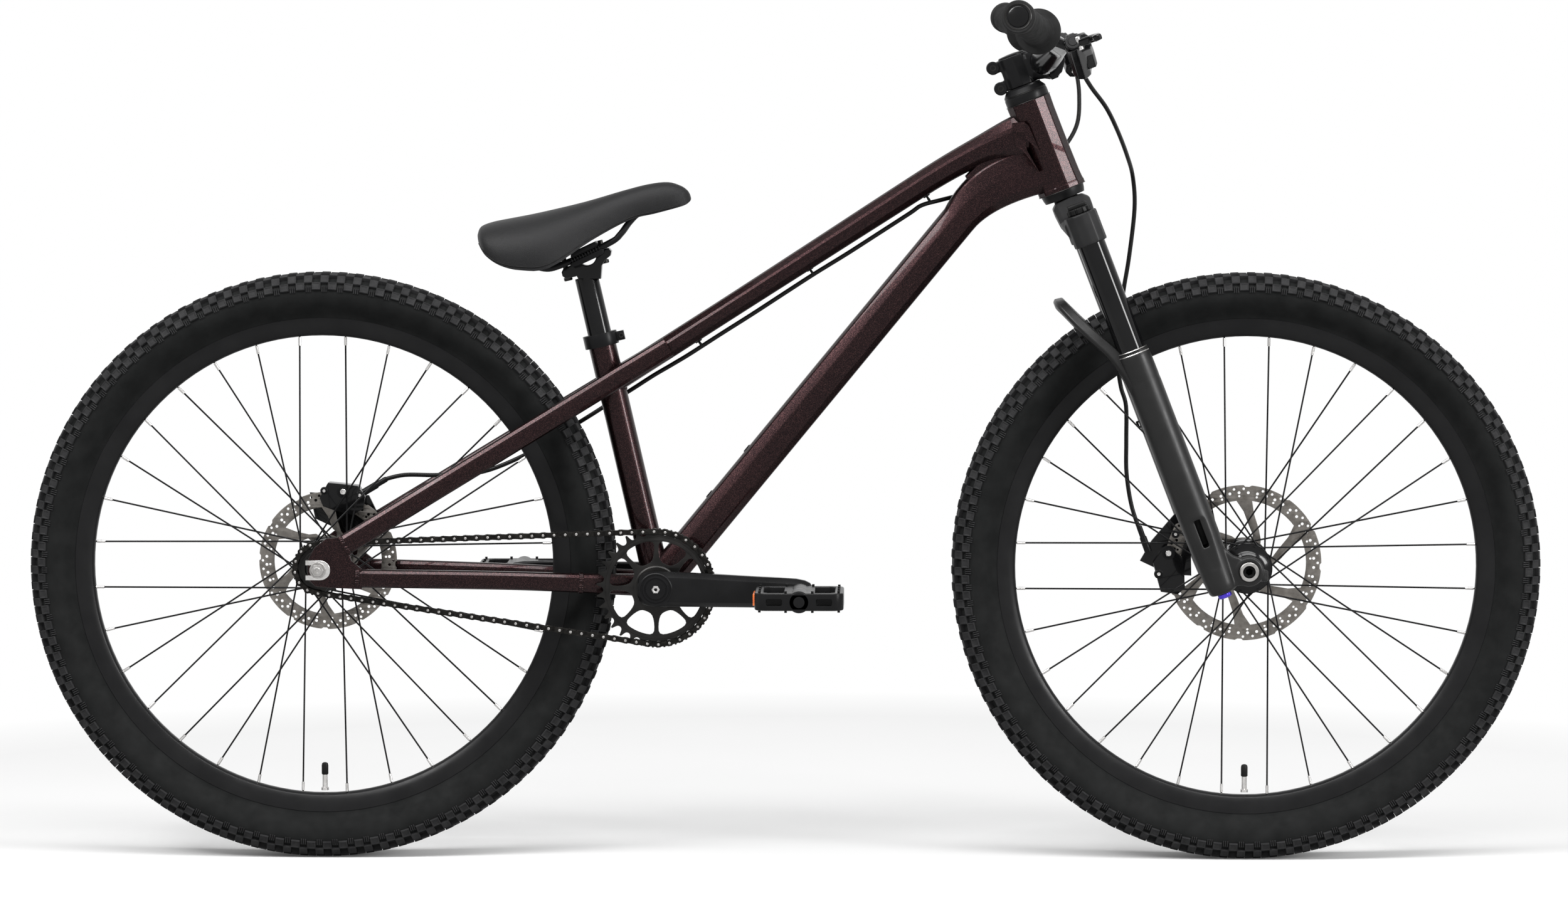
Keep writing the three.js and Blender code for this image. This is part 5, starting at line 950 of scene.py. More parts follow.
# A brazed foot under the top tube, with a tie and its lock that hold the hose.
def hose_guide(share):
    following = next(i for i, place in enumerate(top_tube_places) if place[0] > share)
    (near, low_bow, tall, _), (far, high_bow, _, _) = top_tube_places[following - 1:following + 1]
    first, last = top_tube_at(near, low_bow), top_tube_at(far, high_bow)
    slope = math.degrees(math.atan2(last.z - first.z, last.x - first.x))
    ring = [(-4.5, 4.5), (-4.5, -0.5), (-3.4, -2.2), (3.4, -2.2), (4.5, -0.5), (4.5, 4.5)]
    faces = [tuple(range(6)), tuple(range(11, 5, -1))] + [(i, 6 + i, 6 + (i + 1) % 6, (i + 1) % 6)
                                                          for i in range(6)]
    foot = softened(tidy(added("guide", [(x, y, z) for x in (-4, 4) for y, z in ring], (), faces)), 0.5, 2)
    tie = apply_place(ringed("tie", [(2.7, -1.3), (3.3, -1.3), (3.3, 1.3), (2.7, 1.3)], 24),
                      shift(z=-4.9) @ spun(90, "Y"))
    knot = block("tie_lock", (3.2, 3.0, 3.4), (0, 3.4, -6.4), 0.5, 1)
    at = first.lerp(last, (share - near) / (far - near))
    return apply_place(joined("hose_guide", [foot, tie, knot]),
                       Matrix.Translation(at) @ spun(-slope, "Y") @ shift(z=1 - tall * top_tube_tall / 2))


# The brace that fills the corner between the top tube and the down tube at the head, creased along
# its middle, with a rounded open edge.
def gusset():
    outline = [(207, 784.5), (209.5, 780), (213, 776.5), (222, 770), (300, 800), (318, 838), (300, 862),
               (262, 838), (232, 812)]
    lip = [(209, 0, 779, 11, 4), (222, 0, 793.5, 20, 5), (240, 0, 808, 25, 6), (258, 0, 821, 28, 7),
           (276, 0, 834, 30, 8)]
    return joined("head_gusset", [plate("head_gusset", outline, 24, (), 4.5, 0, 3),
                                  swept("gusset_ridge", smooth_path(lip, 3), facets(0.7, 0.3, 0.05),
                                        angle=14)])


# Two pointed facets on each side of the head tube, where the tubes behind it run out.
head_spikes = [
    [(260.5, -20.5, 845.5), (274, -25.4, 847), (279, -26.4, 842.5), (292.6, -25.9, 812.5),
     (276.4, -27, 827.5), (274.4, -26.8, 836), (260.5, -20.8, 835)],
    [(262, -20.5, 832), (276, -26.6, 823.2), (277.4, -26.7, 814.5), (291.4, -25.9, 790),
     (274.4, -26.7, 812.3), (264.8, -21.5, 820.3)],
]


def head_tube_spikes():
    pieces = []
    for spike in head_spikes:
        count = len(spike)
        ridge = Vector((0, -1.6, 0)) + sum((Vector(point) for point in spike), Vector()) / count
        faces = [(i, (i + 1) % count, 2 * count) for i in range(count)]
        faces += [(i, count + i, count + (i + 1) % count, (i + 1) % count) for i in range(count)]
        faces.append(tuple(range(count, 2 * count)))
        near = tidy(added("head_spike", [*spike, *((x, -8, z) for x, y, z in spike), ridge], (), faces), 10)
        pieces += [near, copied(near, mirror)]
    return joined("head_tube_spikes", pieces)


# The two bolts of the bottle mount on top of the down tube, with their bosses.
def bottle_bolts():
    out = Vector((-down_run.z, 0, down_run.x))
    heads = []
    for along in (118, 186):
        boss = turned("bolt_boss", [(0, -1), (5.4, -1), (5.4, 0.4), (4.6, 1.2), (0, 1.2)], 24, angle=25)
        for piece, lift in ((boss, 20.1), (bolt("bottle_bolt", 4.0, 3.0), 21.2)):
            at = crank_axle + (down_run * along + out * lift) * MM
            heads.append(apply_place(piece, Matrix.Translation(at) @ aimed(out)))
    return joined("bottle_bolts", heads)


def build_frame():
    def painted(piece, *replaced):
        return finished(piece, "frame", "frame_paint", paint, *replaced)

    painted(head_tube(), "head_tube")
    painted(top_tube(), "top_tube")
    painted(down_tube(), "down_tube")
    seat_skin = painted(seat_tube(), "seat_tube")
    shell = painted(bottom_bracket_shell(), "bottom_bracket_shell")
    finished(bearing_cups(), "frame", "black_metal", satin_black, "bottom_bracket")
    for side, name in ((-1, "right"), (1, "left")):
        painted(chainstay(side), "chainstay_" + name).name = "chainstay_skin_" + name
        painted(seatstay(side), "seatstay_" + name).name = "seatstay_skin_" + name
        body, bright = dropout(side)
        painted(body, "dropout_" + name).name = "dropout_skin_" + name
        finished(bright, "frame", "steel", bright_steel).name = "dropout_insert_" + name
    for share in (0.19, 0.45, 0.72):
        finished(hose_guide(share), "frame", "black_metal", plastic_black)
    painted(gusset())
    finished(bottle_bolts(), "frame", "black_metal", satin_black)
    painted(head_tube_spikes())
    bpy.context.view_layer.update()
    painted(weld_round("weld_top_tube_seat", seat_skin, top_start, top_start - top_end, 30, 26, 2.6, 30))
    painted(weld_round("weld_down_tube_shell", shell, crank_axle + down_run * 0.01, -down_run, 40, 38, 2.8,
                       36))
    painted(weld_round("weld_seat_tube_shell", shell, crank_axle + seat_axis * 0.01, -seat_axis, 33, 33,
                       2.8, 32))


build_frame()


# Drive: chain, sprockets, cranks and pedals

chain_pitch = 12.7
chain_line = 48.5
ring_teeth = 32
cog_teeth = 14
chain_links = 84


def pitch_radius(teeth):
    return chain_pitch / (2 * math.sin(math.pi / teeth))


ring_radius = pitch_radius(ring_teeth)
cog_radius = pitch_radius(cog_teeth)
to_cog = Vector(((rear_axle.x - crank_axle.x) / MM, (rear_axle.z - crank_axle.z) / MM))
chain_tilt = math.asin((ring_radius - cog_radius) / to_cog.length)
chain_run = math.sqrt(to_cog.length ** 2 - (ring_radius - cog_radius) ** 2) / chain_pitch
chain_heading = math.atan2(to_cog.y, to_cog.x)
cog_wrap = cog_teeth * (0.5 - chain_tilt / math.pi)


# A roller's place in the chain's plane: over the top run, round the cog, along the bottom run and
# round the chainring.
def chain_point(link):
    top = chain_heading - math.pi / 2 + chain_tilt
    bottom = chain_heading + math.pi / 2 - chain_tilt

    def on_ring(angle):
        return Vector(polar(ring_radius, angle))

    def on_cog(angle):
        return to_cog + Vector(polar(cog_radius, angle))

    if link < chain_run:
        return on_ring(top).lerp(on_cog(top), link / chain_run)
    link -= chain_run
    if link < cog_wrap:
        return on_cog(top + 2 * math.pi * link / cog_teeth)
    link -= cog_wrap
    if link < chain_run:
        return on_cog(bottom).lerp(on_ring(bottom), link / chain_run)
    return on_ring(bottom + 2 * math.pi * (link - chain_run) / ring_teeth)


# Two side plates shaped like a figure eight.
def link_plates(offset, name):
    outline = []
    for end, start in ((1, -1.0), (-1, math.pi - 1.0)):
        outline += [*arc_points(4.1, start, start + 2.0, 7, (end * chain_pitch / 2, 0)),
                    (end * 1.6, end * 2.7)]
    return joined(name, [plate(name, outline, 1.0, (), 0.22, y, 0) for y in (-offset, offset)])


def chain():
    links = link_plates(3.55, "outer_link"), link_plates(2.35, "inner_link")
    pin = turned("chain_pin", [(0, -4.5), (1.2, -4.5), (1.6, -4.1), (1.6, 4.1), (1.2, 4.5), (0, 4.5)], 9, "Y")
    roller = turned("chain_roller", [(3.85, -1.5), (3.85, 1.5)], 12, "Y")
    rollers = [chain_point(i) for i in range(chain_links)]
    plates, pins = [], []
    centre = Matrix.Translation(crank_axle) @ shift(0, -chain_line)
    for i, here in enumerate(rollers):
        following = rollers[(i + 1) % chain_links]
        half = (here + following) / 2
        angle = math.degrees(math.atan2(following.y - here.y, following.x - here.x))
        spot = centre @ shift(here.x, 0, here.y)
        plates += [copied(links[i % 2], centre @ shift(half.x, 0, half.y) @ spun(-angle, "Y")),
                   copied(roller, spot)]
        pins.append(copied(pin, spot))
    discard(*links, pin, roller)
    return joined("chain_plates", plates), joined("chain_pins", pins)


# A sprocket's outline: round valleys for the rollers and narrow teeth between them. Its first
# valley holds the roller after the given link.
def sprocket_outline(teeth, first_link, centre, tip):
    roller = chain_point(math.ceil(first_link) + 1) - centre
    valley = math.atan2(roller.y, roller.x)
    radius = pitch_radius(teeth)
    outline = []
    for i in range(teeth):
        angle = valley + 2 * math.pi * i / teeth
        x, z = polar(radius, angle)
        for turn in (1.25, 0.8, 0.4, 0, -0.4, -0.8, -1.25):
            dx, dz = polar(4.0, angle + math.pi + turn)
            outline.append((x + dx, z + dz))
        outline += [polar(radius + tip, angle + 2 * math.pi * share / teeth) for share in (0.43, 0.57)]
    return outline


# Half of a window between two of the chainring's eight arms, as reaches and half angles.
window_edge = [(54, 0), (54, 5), (54, 10), (53.8, 14.5), (52.4, 17.8), (49.4, 19.4), (45, 19.4), (40, 18.6),
               (35.5, 16.8), (32, 13.8), (30, 9.5), (29.2, 4.5)]


def chainring():
    whole = [*window_edge, (29, 0), *((reach, -half) for reach, half in window_edge[:0:-1])]
    windows = [[polar(reach, math.radians(45 * (arm + 0.5) + half)) for reach, half in whole]
               for arm in range(8)]
    windows.append(ring_points(12.4, 32))
    outline = sprocket_outline(ring_teeth, 2 * chain_run + cog_wrap, Vector((0, 0)), 3.9)
    piece = joined("chainring_skin", [
        plate("chainring_skin", outline, 2.2, windows, 0.3),
        plate("chainring_band", ring_points(58.4, 96), 3.6, [ring_points(54.2, 96)], 0.5),
        ringed("chainring_boss", [(12.4, -3.4), (24, -3.4), (25.5, -2.2), (25.5, 2.2), (24, 3.4),
                                  (12.4, 3.4)], 48, "Y")])
    return apply_place(piece, Matrix.Translation(crank_axle) @ shift(0, -chain_line))


def cog():
    piece = joined("cog_skin", [
        plate("cog_skin", sprocket_outline(cog_teeth, chain_run, to_cog, 3.5), 2.2, [ring_points(16.6, 32)],
              0.3),
        ringed("cog_body", [(16.6, -6.9), (20.2, -6.9), (20.9, -6.2), (20.9, 6.2), (20.2, 6.9), (16.6, 6.9)],
               48, "Y")])
    return apply_place(piece, Matrix.Translation(rear_axle) @ shift(0, -chain_line))


# A crank arm along +X on the right side, a bar with bevelled edges that leans outwards to the pedal.
def crank_arm():
    rings = []
    for along, tall, lean in ((-0.125, 0.5, 0), (-0.115, 0.68, 0), (-0.09, 0.86, 0), (-0.05, 0.97, 0),
                              (0, 1, 0), (0.12, 1, 0.02), (0.3, 1, 0.12), (0.5, 0.99, 0.45),
                              (0.7, 0.98, 0.75), (0.86, 0.98, 0.93), (0.97, 0.96, 1), (1.03, 0.86, 1),
                              (1.065, 0.7, 1), (1.08, 0.5, 1)):
        half = tall * (40 - 6 * min(max(along, 0), 1)) / 2
        inner, outer = 52.5 + 15.5 * lean, 70 + 12 * lean
        edge = [(inner, half - 2), (inner + 1.5, half), (outer - 6.5, half), (outer - 5.5, half - 0.5),
                (outer - 0.4, half - 5.6), (outer, half - 7)]
        rings.append([(along * 165, -y, -z) for y, z in edge] + [(along * 165, -y, z) for y, z in edge[::-1]])
    return skinned("crank_skin", rings, 24)


def spindle_cap():
    return turned("spindle_cap", [
        (0, 66), (19.0, 66), (19.0, 70.4), (18.2, 71.0), (17.2, 71.0), (16.8, 70.5), (15.4, 70.5),
        (15.0, 71.2), (13.2, 71.4), (12.8, 70.8), (11.6, 70.8), (11.2, 71.6), (0, 71.6)], 64, "Y", 20)


def crank_bolt():
    return ringed("crank_bolt", [(0, 70.4), (1.9, 70.4), (2.1, 72.2), (2.6, 72.6), (4.2, 72.6), (4.9, 71.9),
                                 (4.9, 70.4)], 6, "Y", 20)


def build_drive():
    level = Matrix.Translation(crank_axle) @ spun(1.2, "Y")
    plates, pins = chain()
    finished(plates, "frame", "chain_steel", chain_plates, "chain")
    finished(pins, "frame", "chain_steel", brushed_alloy)
    finished(chainring(), "crank", "crank_black", ring_black, "chainring")
    finished(cog(), "freewheel", "chain_steel", ring_black, "freewheel_cog")
    for name, arm_turn, cap_turn in (("right", Matrix.Identity(4), half_turn),
                                     ("left", half_turn, Matrix.Identity(4))):
        arm = apply_place(crank_arm(), level @ arm_turn)
        cap, screw = (apply_place(piece, level @ cap_turn) for piece in (spindle_cap(), crank_bolt()))
        finished(arm, "crank", "crank_black", crank_black, "crank_arm_" + name).name = "crank_skin_" + name
        finished(cap, "crank", "crank_black", satin_black).name = "spindle_cap_" + name
        finished(screw, "crank", "steel", bright_steel).name = "crank_bolt_" + name
        for place in nodes["pedal_axle_" + name].material_slots:
            place.material = bright_steel
    spindle = turned("spindle_skin", [(0, -66), (12, -66), (12, 66), (0, 66)], 40, "Y")
    finished(apply_place(spindle, level), "crank", "steel", brushed_alloy)


# A pedal about its own axle: two rails across a barrel, end plates with slots, pins and a reflector.
def pedal(name):
    low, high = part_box("pedal_" + name)
    half_x, half_y, corner = 50, 48, 13
    outline = []
    for quarter, (cx, cy) in enumerate(((1, 1), (-1, 1), (-1, -1), (1, -1))):
        outline += arc_points(corner, quarter * math.pi / 2, (quarter + 1) * math.pi / 2, 6,
                              (cx * (half_x - corner), cy * (half_y - corner)))
    window = [(17.5, -38), (34, -38), (40, -32), (40, 32), (34, 38), (17.5, 38)]
    cage = plate("pedal_cage", outline, 19.6, [[(-x, y) for x, y in window[::-1]], window], 1.8, 0, 2)
    apply_place(cage, spun(-90, "X"))
    shaded(cut(cage, joined("slot_cutter", [block("slot", (18, 14, 7.5), (way * 28, end * half_y, 0), 1.5)
                                            for way in (-1, 1) for end in (-1, 1)])), 30)
    barrel = turned("pedal_barrel", [(6.3, -48), (10.5, -48), (12.4, -46), (12.8, -20), (12.2, 0), (12.8, 20),
                                     (12.4, 46), (10.5, 48), (0, 48)], 40, "Y")
    spots = [(x, y) for x in (-44.5, 44.5) for y in (-38, -12, 12, 38)]
    spots += [(x, y) for x in (-15, 15) for y in (-42, 42)]
    pins = [rod("pedal_pin", [(x * MM, y * MM, way * z * MM) for z in (9, 12.2)], 1.5, 8)
            for x, y in spots for way in (-1, 1)]
    lens = added("reflector", [(x, y, z) for x in (-52.3, -48.6) for y in (-22, 22) for z in (-6.5, 6.5)], (),
                 [(0, 1, 3, 2), (4, 6, 7, 5), (0, 4, 5, 1), (2, 3, 7, 6), (0, 2, 6, 4), (1, 5, 7, 3)])
    softened(tidy(lens), 0.8)
    for piece, part, material, replaced in ((joined("pedal_body", [cage, barrel]), "body", crank_black,
                                             ["pedal_" + name]),
                                            (joined("pedal_pins", pins), "pins", satin_black, []),
                                            (lens, "reflector", amber, [])):
        apply_place(piece, Matrix.Translation((low + high) / 2))
        piece.name = "pedal_" + part + "_" + name
        finished(piece, "pedal_" + name, "pedal_black", material, *replaced)


def rear_axle_nuts():
    end = joined("rear_axle_nuts", [
        ringed("axle_nut", [(4.6, 76.8), (7.4, 76.8), (8.0, 77.4), (8.0, 82.4), (7.0, 83.4), (4.6, 83.4)],
               6, "Y", 20),
        ringed("axle_washer", [(4.6, 74.9), (9.0, 74.9), (9.4, 75.3), (9.4, 76.5), (9.0, 76.9), (4.6, 76.9)],
               40, "Y"),
        turned("axle_stud", [(0, 40), (4.5, 40), (4.5, 85.0), (3.8, 85.7), (2.4, 85.7), (2.0, 84.4), (0, 84.2)],
               24, "Y")])
    return apply_place(paired("rear_axle_nuts", end), Matrix.Translation(rear_axle))


build_drive()
pedal("right")
pedal("left")
finished(rear_axle_nuts(), "frame", "steel", brushed_alloy, "rear_axle")


# Fork, in the steering axis's own frame

leg_x = 8.0
leg_y = 65.0
axle_x = 43.0
axle_z = -479.0
leg_foot = -492.0
seal_top = -196.0


def at_leg(piece, side):
    return apply_place(piece, head @ shift(leg_x, side * leg_y))


def stanchion(side):
    return at_leg(turned("stanchion_skin", [(13.5, -320), (15.4, -320), (16, -319), (16, -35.5), (15, -34.4),
                                            (0, -34.4)], 72), side)


# One leg with its flat inner panel, the arm, boss and bore for the axle, and the pinch lug.
def lower_leg(side):
    profile = [(0, leg_foot), (13.6, leg_foot), (16.0, leg_foot + 2.2), (17.4, leg_foot + 9),
               (18.4, leg_foot + 30), (19.8, leg_foot + 69), (19.8, -236), (19.5, -233.6), (19.5, -232.4),
               (19.7, -230), (19.3, -203), (18.6, -202), (18.6, -198.3), (17.4, seal_top), (16.5, seal_top),
               (16.5, -436), (0, -436)]
    body = cut(turned("leg", profile, 64), block("panel_cutter", (60, 20, 66), (0, side * 27.4, -432), 4))
    apply_place(body, shift(leg_x, side * leg_y))
    width = 20.4
    half = width / 2
    y = side * (55 + half)
    arm = plate("axle_arm", [
        (leg_x - 8, -488), (leg_x + 14, -489), (axle_x - 9, -492), (axle_x + 2, -495.5), (axle_x + 2, -463),
        (axle_x - 4, -461), (axle_x - 10, -456), (axle_x - 14, -449), (leg_x + 17, -438), (leg_x + 13, -428),
        (leg_x - 8, -440)], width - 3, (), 2.2, y, 2)
    boss = ringed("axle_boss", [(10.4, -half), (14.6, -half), (17, 2 - half), (17, half - 2), (14.6, half),
                                (10.4, half)], 56, "Y")
    bore = turned("bore_cutter", [(0, -20), (10.5, -20), (10.5, 20), (0, 20)], 40, "Y")
    for piece in (boss, bore):
        apply_place(piece, shift(axle_x, y, axle_z))
    cut(arm, bore)
    lug = turned("pinch_lug", [(0, -6.5), (4.6, -6.5), (5.4, -5.6), (5.4, 5.6), (4.6, 6.5), (0, 6.5)], 24)
    return [body, arm, boss, apply_place(lug, shift(axle_x + 14, y, axle_z - 11) @ spun(20, "Y"))]


def fork_arch():
    half = [(-1, -65, -290, 26, 20), (-3.5, -65, -262, 26, 24), (-8, -65, -232, 24, 27),
            (-12, -65, -217, 20, 25), (-18, -64, -201, 16.5, 22), (-25, -61.5, -186, 14.5, 19.5),
            (-36, -56, -166, 13.4, 17.5), (-45, -47, -148, 12.8, 16.4), (-53, -34, -130, 12.6, 15.6),
            (-56.6, -20, -122.6, 12.6, 15.2)]
    half = [(leg_x + x, *rest) for x, *rest in half]
    whole = half + [(x, -y, *rest) for x, y, *rest in half[::-1]]
    section = [(-0.5, -0.3), (-0.28, -0.5), (0.4, -0.42), (0.5, -0.2), (0.5, 0.16), (0.16, 0.5),
               (-0.3, 0.42), (-0.5, 0.18)]
    return softened(swept("fork_arch", smooth_path(whole, 3), section, across=(1, 0, 0), angle=20), 0.9, 2,
                    20)


def fork_lowers():
    body = cast(joined("fork_lowers_skin", lower_leg(-1) + lower_leg(1)), 1.4, 4, 0.5)
    return apply_place(joined("fork_lowers_skin", [body, fork_arch()]), head)


def thin_ring(name, radius, wall, z, half, bulge):
    return ringed(name, [(radius - wall, z - half), (radius, z - half), (radius + bulge, z),
                         (radius, z + half), (radius - wall, z + half)], 72 if wall > 1 else 64)


def seal_rings():
    return joined("seal_rings", [at_leg(thin_ring("seal_ring", radius, 0.9, seal_top - depth, 0.6, 0.4), side)
                                 for side in (-1, 1) for depth, radius in ((0.4, 17.6), (4.6, 18.8))])


def wiper_seals():
    profile = [(16.2, -6), (18.3, -6), (18.3, -1), (17.2, 0.8), (16.2, 0.8)]
    return joined("wiper_seals", [at_leg(ringed("wiper", [(r, seal_top + z) for r, z in profile], 64), side)
                                  for side in (-1, 1)])


def thru_axle():
    shaft = ringed("axle_skin", [(7.2, -78.2), (10.2, -78.2), (11, -77.4), (11, -75.8), (10, -75.7),
                                 (10, 75.7), (11, 75.8), (11, 77.4), (10.2, 78.2), (7.2, 78.2)], 56, "Y")
    return apply_place(shaft, head @ shift(axle_x, 0, axle_z))


def axle_sockets():
    socket = turned("axle_socket", [(0, 66), (4.2, 66), (4.2, 75.2), (7.1, 76.4), (7.1, 60), (0, 60)], 6,
                    "Y", 20)
    return apply_place(paired("axle_sockets", socket), head @ shift(axle_x, 0, axle_z))


def compression_knob():
    knob = turned("knob", [(0, -29.6), (13.2, -29.6), (13.9, -28.8), (13.9, -24.2), (13.0, -23.2),
                           (0, -23.0)], 96)
    ridge = block("knob_ridge", (23, 7, 6.4), (0, 0, -21), 2.2, 3)
    tidy(grooved(knob, 12, 11, 0.87, lambda off, at: off > 0.3), 25)
    return at_leg(joined("knob", [knob, ridge]), -1)


# The clip that holds the front hose on the back of the far leg.
def hose_clip():
    bracket = cut(block("hose_clip", (13, 3, 9), (-16.5, 0, 0), 1),
                  block("clip_window", (5.5, 5, 4.4), (-17.5, 0, 0)))
    return apply_place(bracket, head @ shift(leg_x, leg_y, -288))


def rebound_knob():
    knob = turned("rebound_skin", [(0, -498.0), (5.8, -498.0), (7.6, -497.2), (7.9, -496.4), (7.9, -493.2),
                                   (7.2, -492.5), (0, -492.5)], 40, angle=25)
    return at_leg(grooved(knob, 10, 7, 0.93, lambda off, at: off > 0.3), -1)


# A hose's end fitting, from inside the caliper to the hose, as a collar and a crimped sleeve.
def hose_fitting(start, end):
    along = end - start
    length = along.length / MM
    profile = [(0, 0), (4.2, 0), (4.2, 0.55), (3.3, 0.6), (3.3, 0.95), (2.8, 1), (0, 1)]
    return apply_place(turned("banjo", [(r, z * length) for r, z in profile], 20),
                       Matrix.Translation(start) @ aimed(along))


# A caliper: its angular cast block, and its pistons' covers and bolts at spots in millimetres from
# the wheel's axle, each with its radius.
def caliper(end, body, axle, spots, start, finish):
    node = end + "_caliper"
    finished(refined(node + "_skin", node, 1.4, 2, 28), body, "black_metal", gloss_black, node)
    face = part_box(node)[0].y
    caps, bolts = [], []
    for x, z, r in spots:
        place = Matrix.Translation((axle.x, face, axle.z)) @ shift(x, 0, z)
        cap = turned("piston_cap", [(0, 0.9), (r * 0.55, 0.9), (r * 0.62, 0.3), (r * 0.8, 0.3), (r, -0.4),
                                    (r, -2), (0, -2)], 36, angle=25)
        caps.append(apply_place(cap, place @ spun(90, "X")))
        bolts.append(apply_place(bolt("caliper_bolt", r * 0.42, 2.0), place @ shift(0, -2.2) @ spun(90, "X")))
    caps.append(hose_fitting(Vector(start), Vector(finish)))
    finished(joined(node + "_caps", caps), body, "black_metal", satin_black)
    finished(joined(node + "_bolts", bolts), body, "steel", bright_steel)


for side, name in ((-1, "right"), (1, "left")):
    finished(stanchion(side), "steering", "stanchion_black", stanchion_black,
             "stanchion_" + name).name = "stanchion_skin_" + name
# The crown: two barrel sleeves under a low arch with a waist at the steerer.
crown = cast(refined("fork_crown_skin", "fork_crown"), 1.3, 7, 0.55)
finished(crown, "steering", "crown_black", crown_black, "fork_crown")
finished(fork_lowers(), "fork_lowers", "lowers_black", lowers_black, "fork_lowers")
finished(seal_rings(), "fork_lowers", "steel", brushed_alloy)
finished(wiper_seals(), "fork_lowers", "lowers_black", plastic_black)
finished(thru_axle(), "fork_lowers", "steel", brushed_alloy, "front_thru_axle")
# painted shade: the sockets' dark colour stands in for the shade in their bores
finished(axle_sockets(), "fork_lowers", "black_metal", painted_shade_bore)
finished(compression_knob(), "compression_knob", "black_metal", plastic_black, "compression_knob")
finished(hose_clip(), "fork_lowers", "black_metal", plastic_black)
finished(rebound_knob(), "rebound_knob", "knob_violet", violet, "rebound_knob")
caliper("front", "fork_lowers", front_axle, [(-87, 12, 8.5), (-98, -12, 5.5), (-79, 34, 4.6)],
        (0.4205, 0.0465, 0.349), (0.4095, 0.0465, 0.379))
caliper("rear", "frame", rear_axle, [(19, 81, 8.5), (38, 77, 5.0), (-3, 82, 4.6)],
        (-0.488, 0.049, 0.4165), (-0.461, 0.0478, 0.4325))


# Brake hoses, along the routes of the CAD solids. The front one crosses over above the crown, clear
# of the tyre when the fork is short.

front_route = [
    (336.6, -149.2, 905.6), (338.6, -138.5, 900.4), (348, -121, 886), (365, -92, 864), (379, -54, 838),
    (392, -10, 808), (400, 24, 782.4), (402.5, 36, 745.8), (396.5, 37.5, 690.6), (390.5, 37.5, 653.5),
    (388, 38, 628), (386, 40, 600), (384.6, 41.5, 566), (388, 44, 540), (394, 45.5, 518), (394.5, 46, 478),
    (395, 46, 440), (401.4, 46, 400.6), (413.8, 46.5, 366),
]
rear_route = [
    (336.6, 149.2, 905.6), (338.6, 138.5, 900.4), (341, 119, 876), (338, 92, 843), (322, 66, 816),
    (300, 48, 797), (270, 38, 783), (236, 31, 771), (205, 20, 763), (180, 7, 757), (158, 0, 751.2),
    (144, 0, 741.9), (108, 0, 718.6), (72, 0, 695.4), (36, 0, 673.2), (0, 0, 649.9), (-36, 0, 626.4),
    (-72, 0, 603.6), (-108, 0, 580.4), (-130, 5, 567), (-150, 13, 555), (-176, 22, 538), (-197, 24, 525),
    (-228, 30.5, 505), (-262, 37, 484), (-300, 41.5, 461), (-350, 43.5, 441), (-400, 46, 437),
    (-440, 47, 437), (-466, 48, 431),
]


def hose(name, route, node):
    piece = rod(name, [Vector(point) * MM for point in smooth_path(route, 6)], 2.5, 16)
    return finished(piece, None, "hose_sheath", sheath_black, node)


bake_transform(hose("front_brake_hose", front_route, "front_hose"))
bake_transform(hose("rear_brake_hose", rear_route, "rear_hose"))


# Cockpit, in the steering axis's own frame

stem_reach = 33.0
stem_middle = 145.6
bar_bend = Vector((stem_reach + 18.2, 115, stem_middle + 10.2))
grip_axis = Vector((-math.tan(math.radians(7.6)), 1, math.tan(math.radians(10.6)))).normalized()
lever_outer = Vector((66, 219, 157))
lever_inner = Vector((66, 150, 121))
lever_pivot = lever_outer + Vector((5.5, 0, -4.4))


def on_bar(y):
    return bar_bend + grip_axis * ((y - bar_bend.y) / grip_axis.y)


# Puts a body that was modelled about Z, with its outer end upwards, on the left end of the bar.
def on_grip(piece):
    turn = Vector((0, 0, 1)).rotation_difference(grip_axis).to_matrix().to_4x4()
    return apply_place(piece, head @ shift(*on_bar(378)) @ turn)


def both_sides(piece, name, body, slot, material, *replaced):
    for side, matrix in (("left", Matrix.Identity(4)), ("right", mirror)):
        copy = copied(piece, matrix)
        copy.name = copy.data.name = name + "_" + side
        finished(copy, body.format(side), slot, material, *(node.format(side) for node in replaced))
    discard(piece)


def handlebar():
    half = [(stem_reach + x, y, stem_middle + z, size, size) for x, y, z, size in
            ((0, 0, 0, 31.8), (0, 22, 0, 31.8), (0, 36, 0, 31.6), (3.2, 56, 1.2, 29.6), (9.6, 78, 4.4, 26.4),
             (15, 98, 7.8, 23.6))]
    half += [(*at, 22.2, 22.2) for at in (bar_bend, on_bar(136), on_bar(250), on_bar(377.5))]
    whole = [(x, -y, *rest) for x, y, *rest in half[:0:-1]] + half
    return apply_place(swept("handlebar_skin", smooth_path(whole, 4), oval(1, 1, 40), across=(1, 0, 0),
                             angle=40), head)


def grip():
    profile = [(11.3, -132), (24.6, -132), (25.5, -131.2), (25.5, -129), (24.6, -128), (18.6, -126.6),
               (17.0, -124)]
    z = -121.0
    while z < -14:
        profile += [(16.5, z), (16.5, z + 1.9), (15.9, z + 2.3), (15.9, z + 3.0)]
        z += 3.4
    profile += [(16.6, -10), (18.0, -8.6), (18.2, -5), (18.2, 0.4), (17.2, 1.6), (13.4, 1.6), (11.3, 0.6)]
    return on_grip(turned("grip_skin", profile, 72, angle=32))


def grip_plug():
    return on_grip(turned("grip_plug", [(0, 2.5), (9.8, 2.5), (11.2, 1.9), (11.6, 1.0), (13.2, 1.0),
                                        (13.4, -1.0), (0, -1.0)], 64, angle=25))


def plug_ring():
    return on_grip(ringed("plug_ring", [(13.2, 0.6), (13.4, 2.0), (14.2, 2.2), (14.8, 1.7), (14.8, 0.6)], 72))


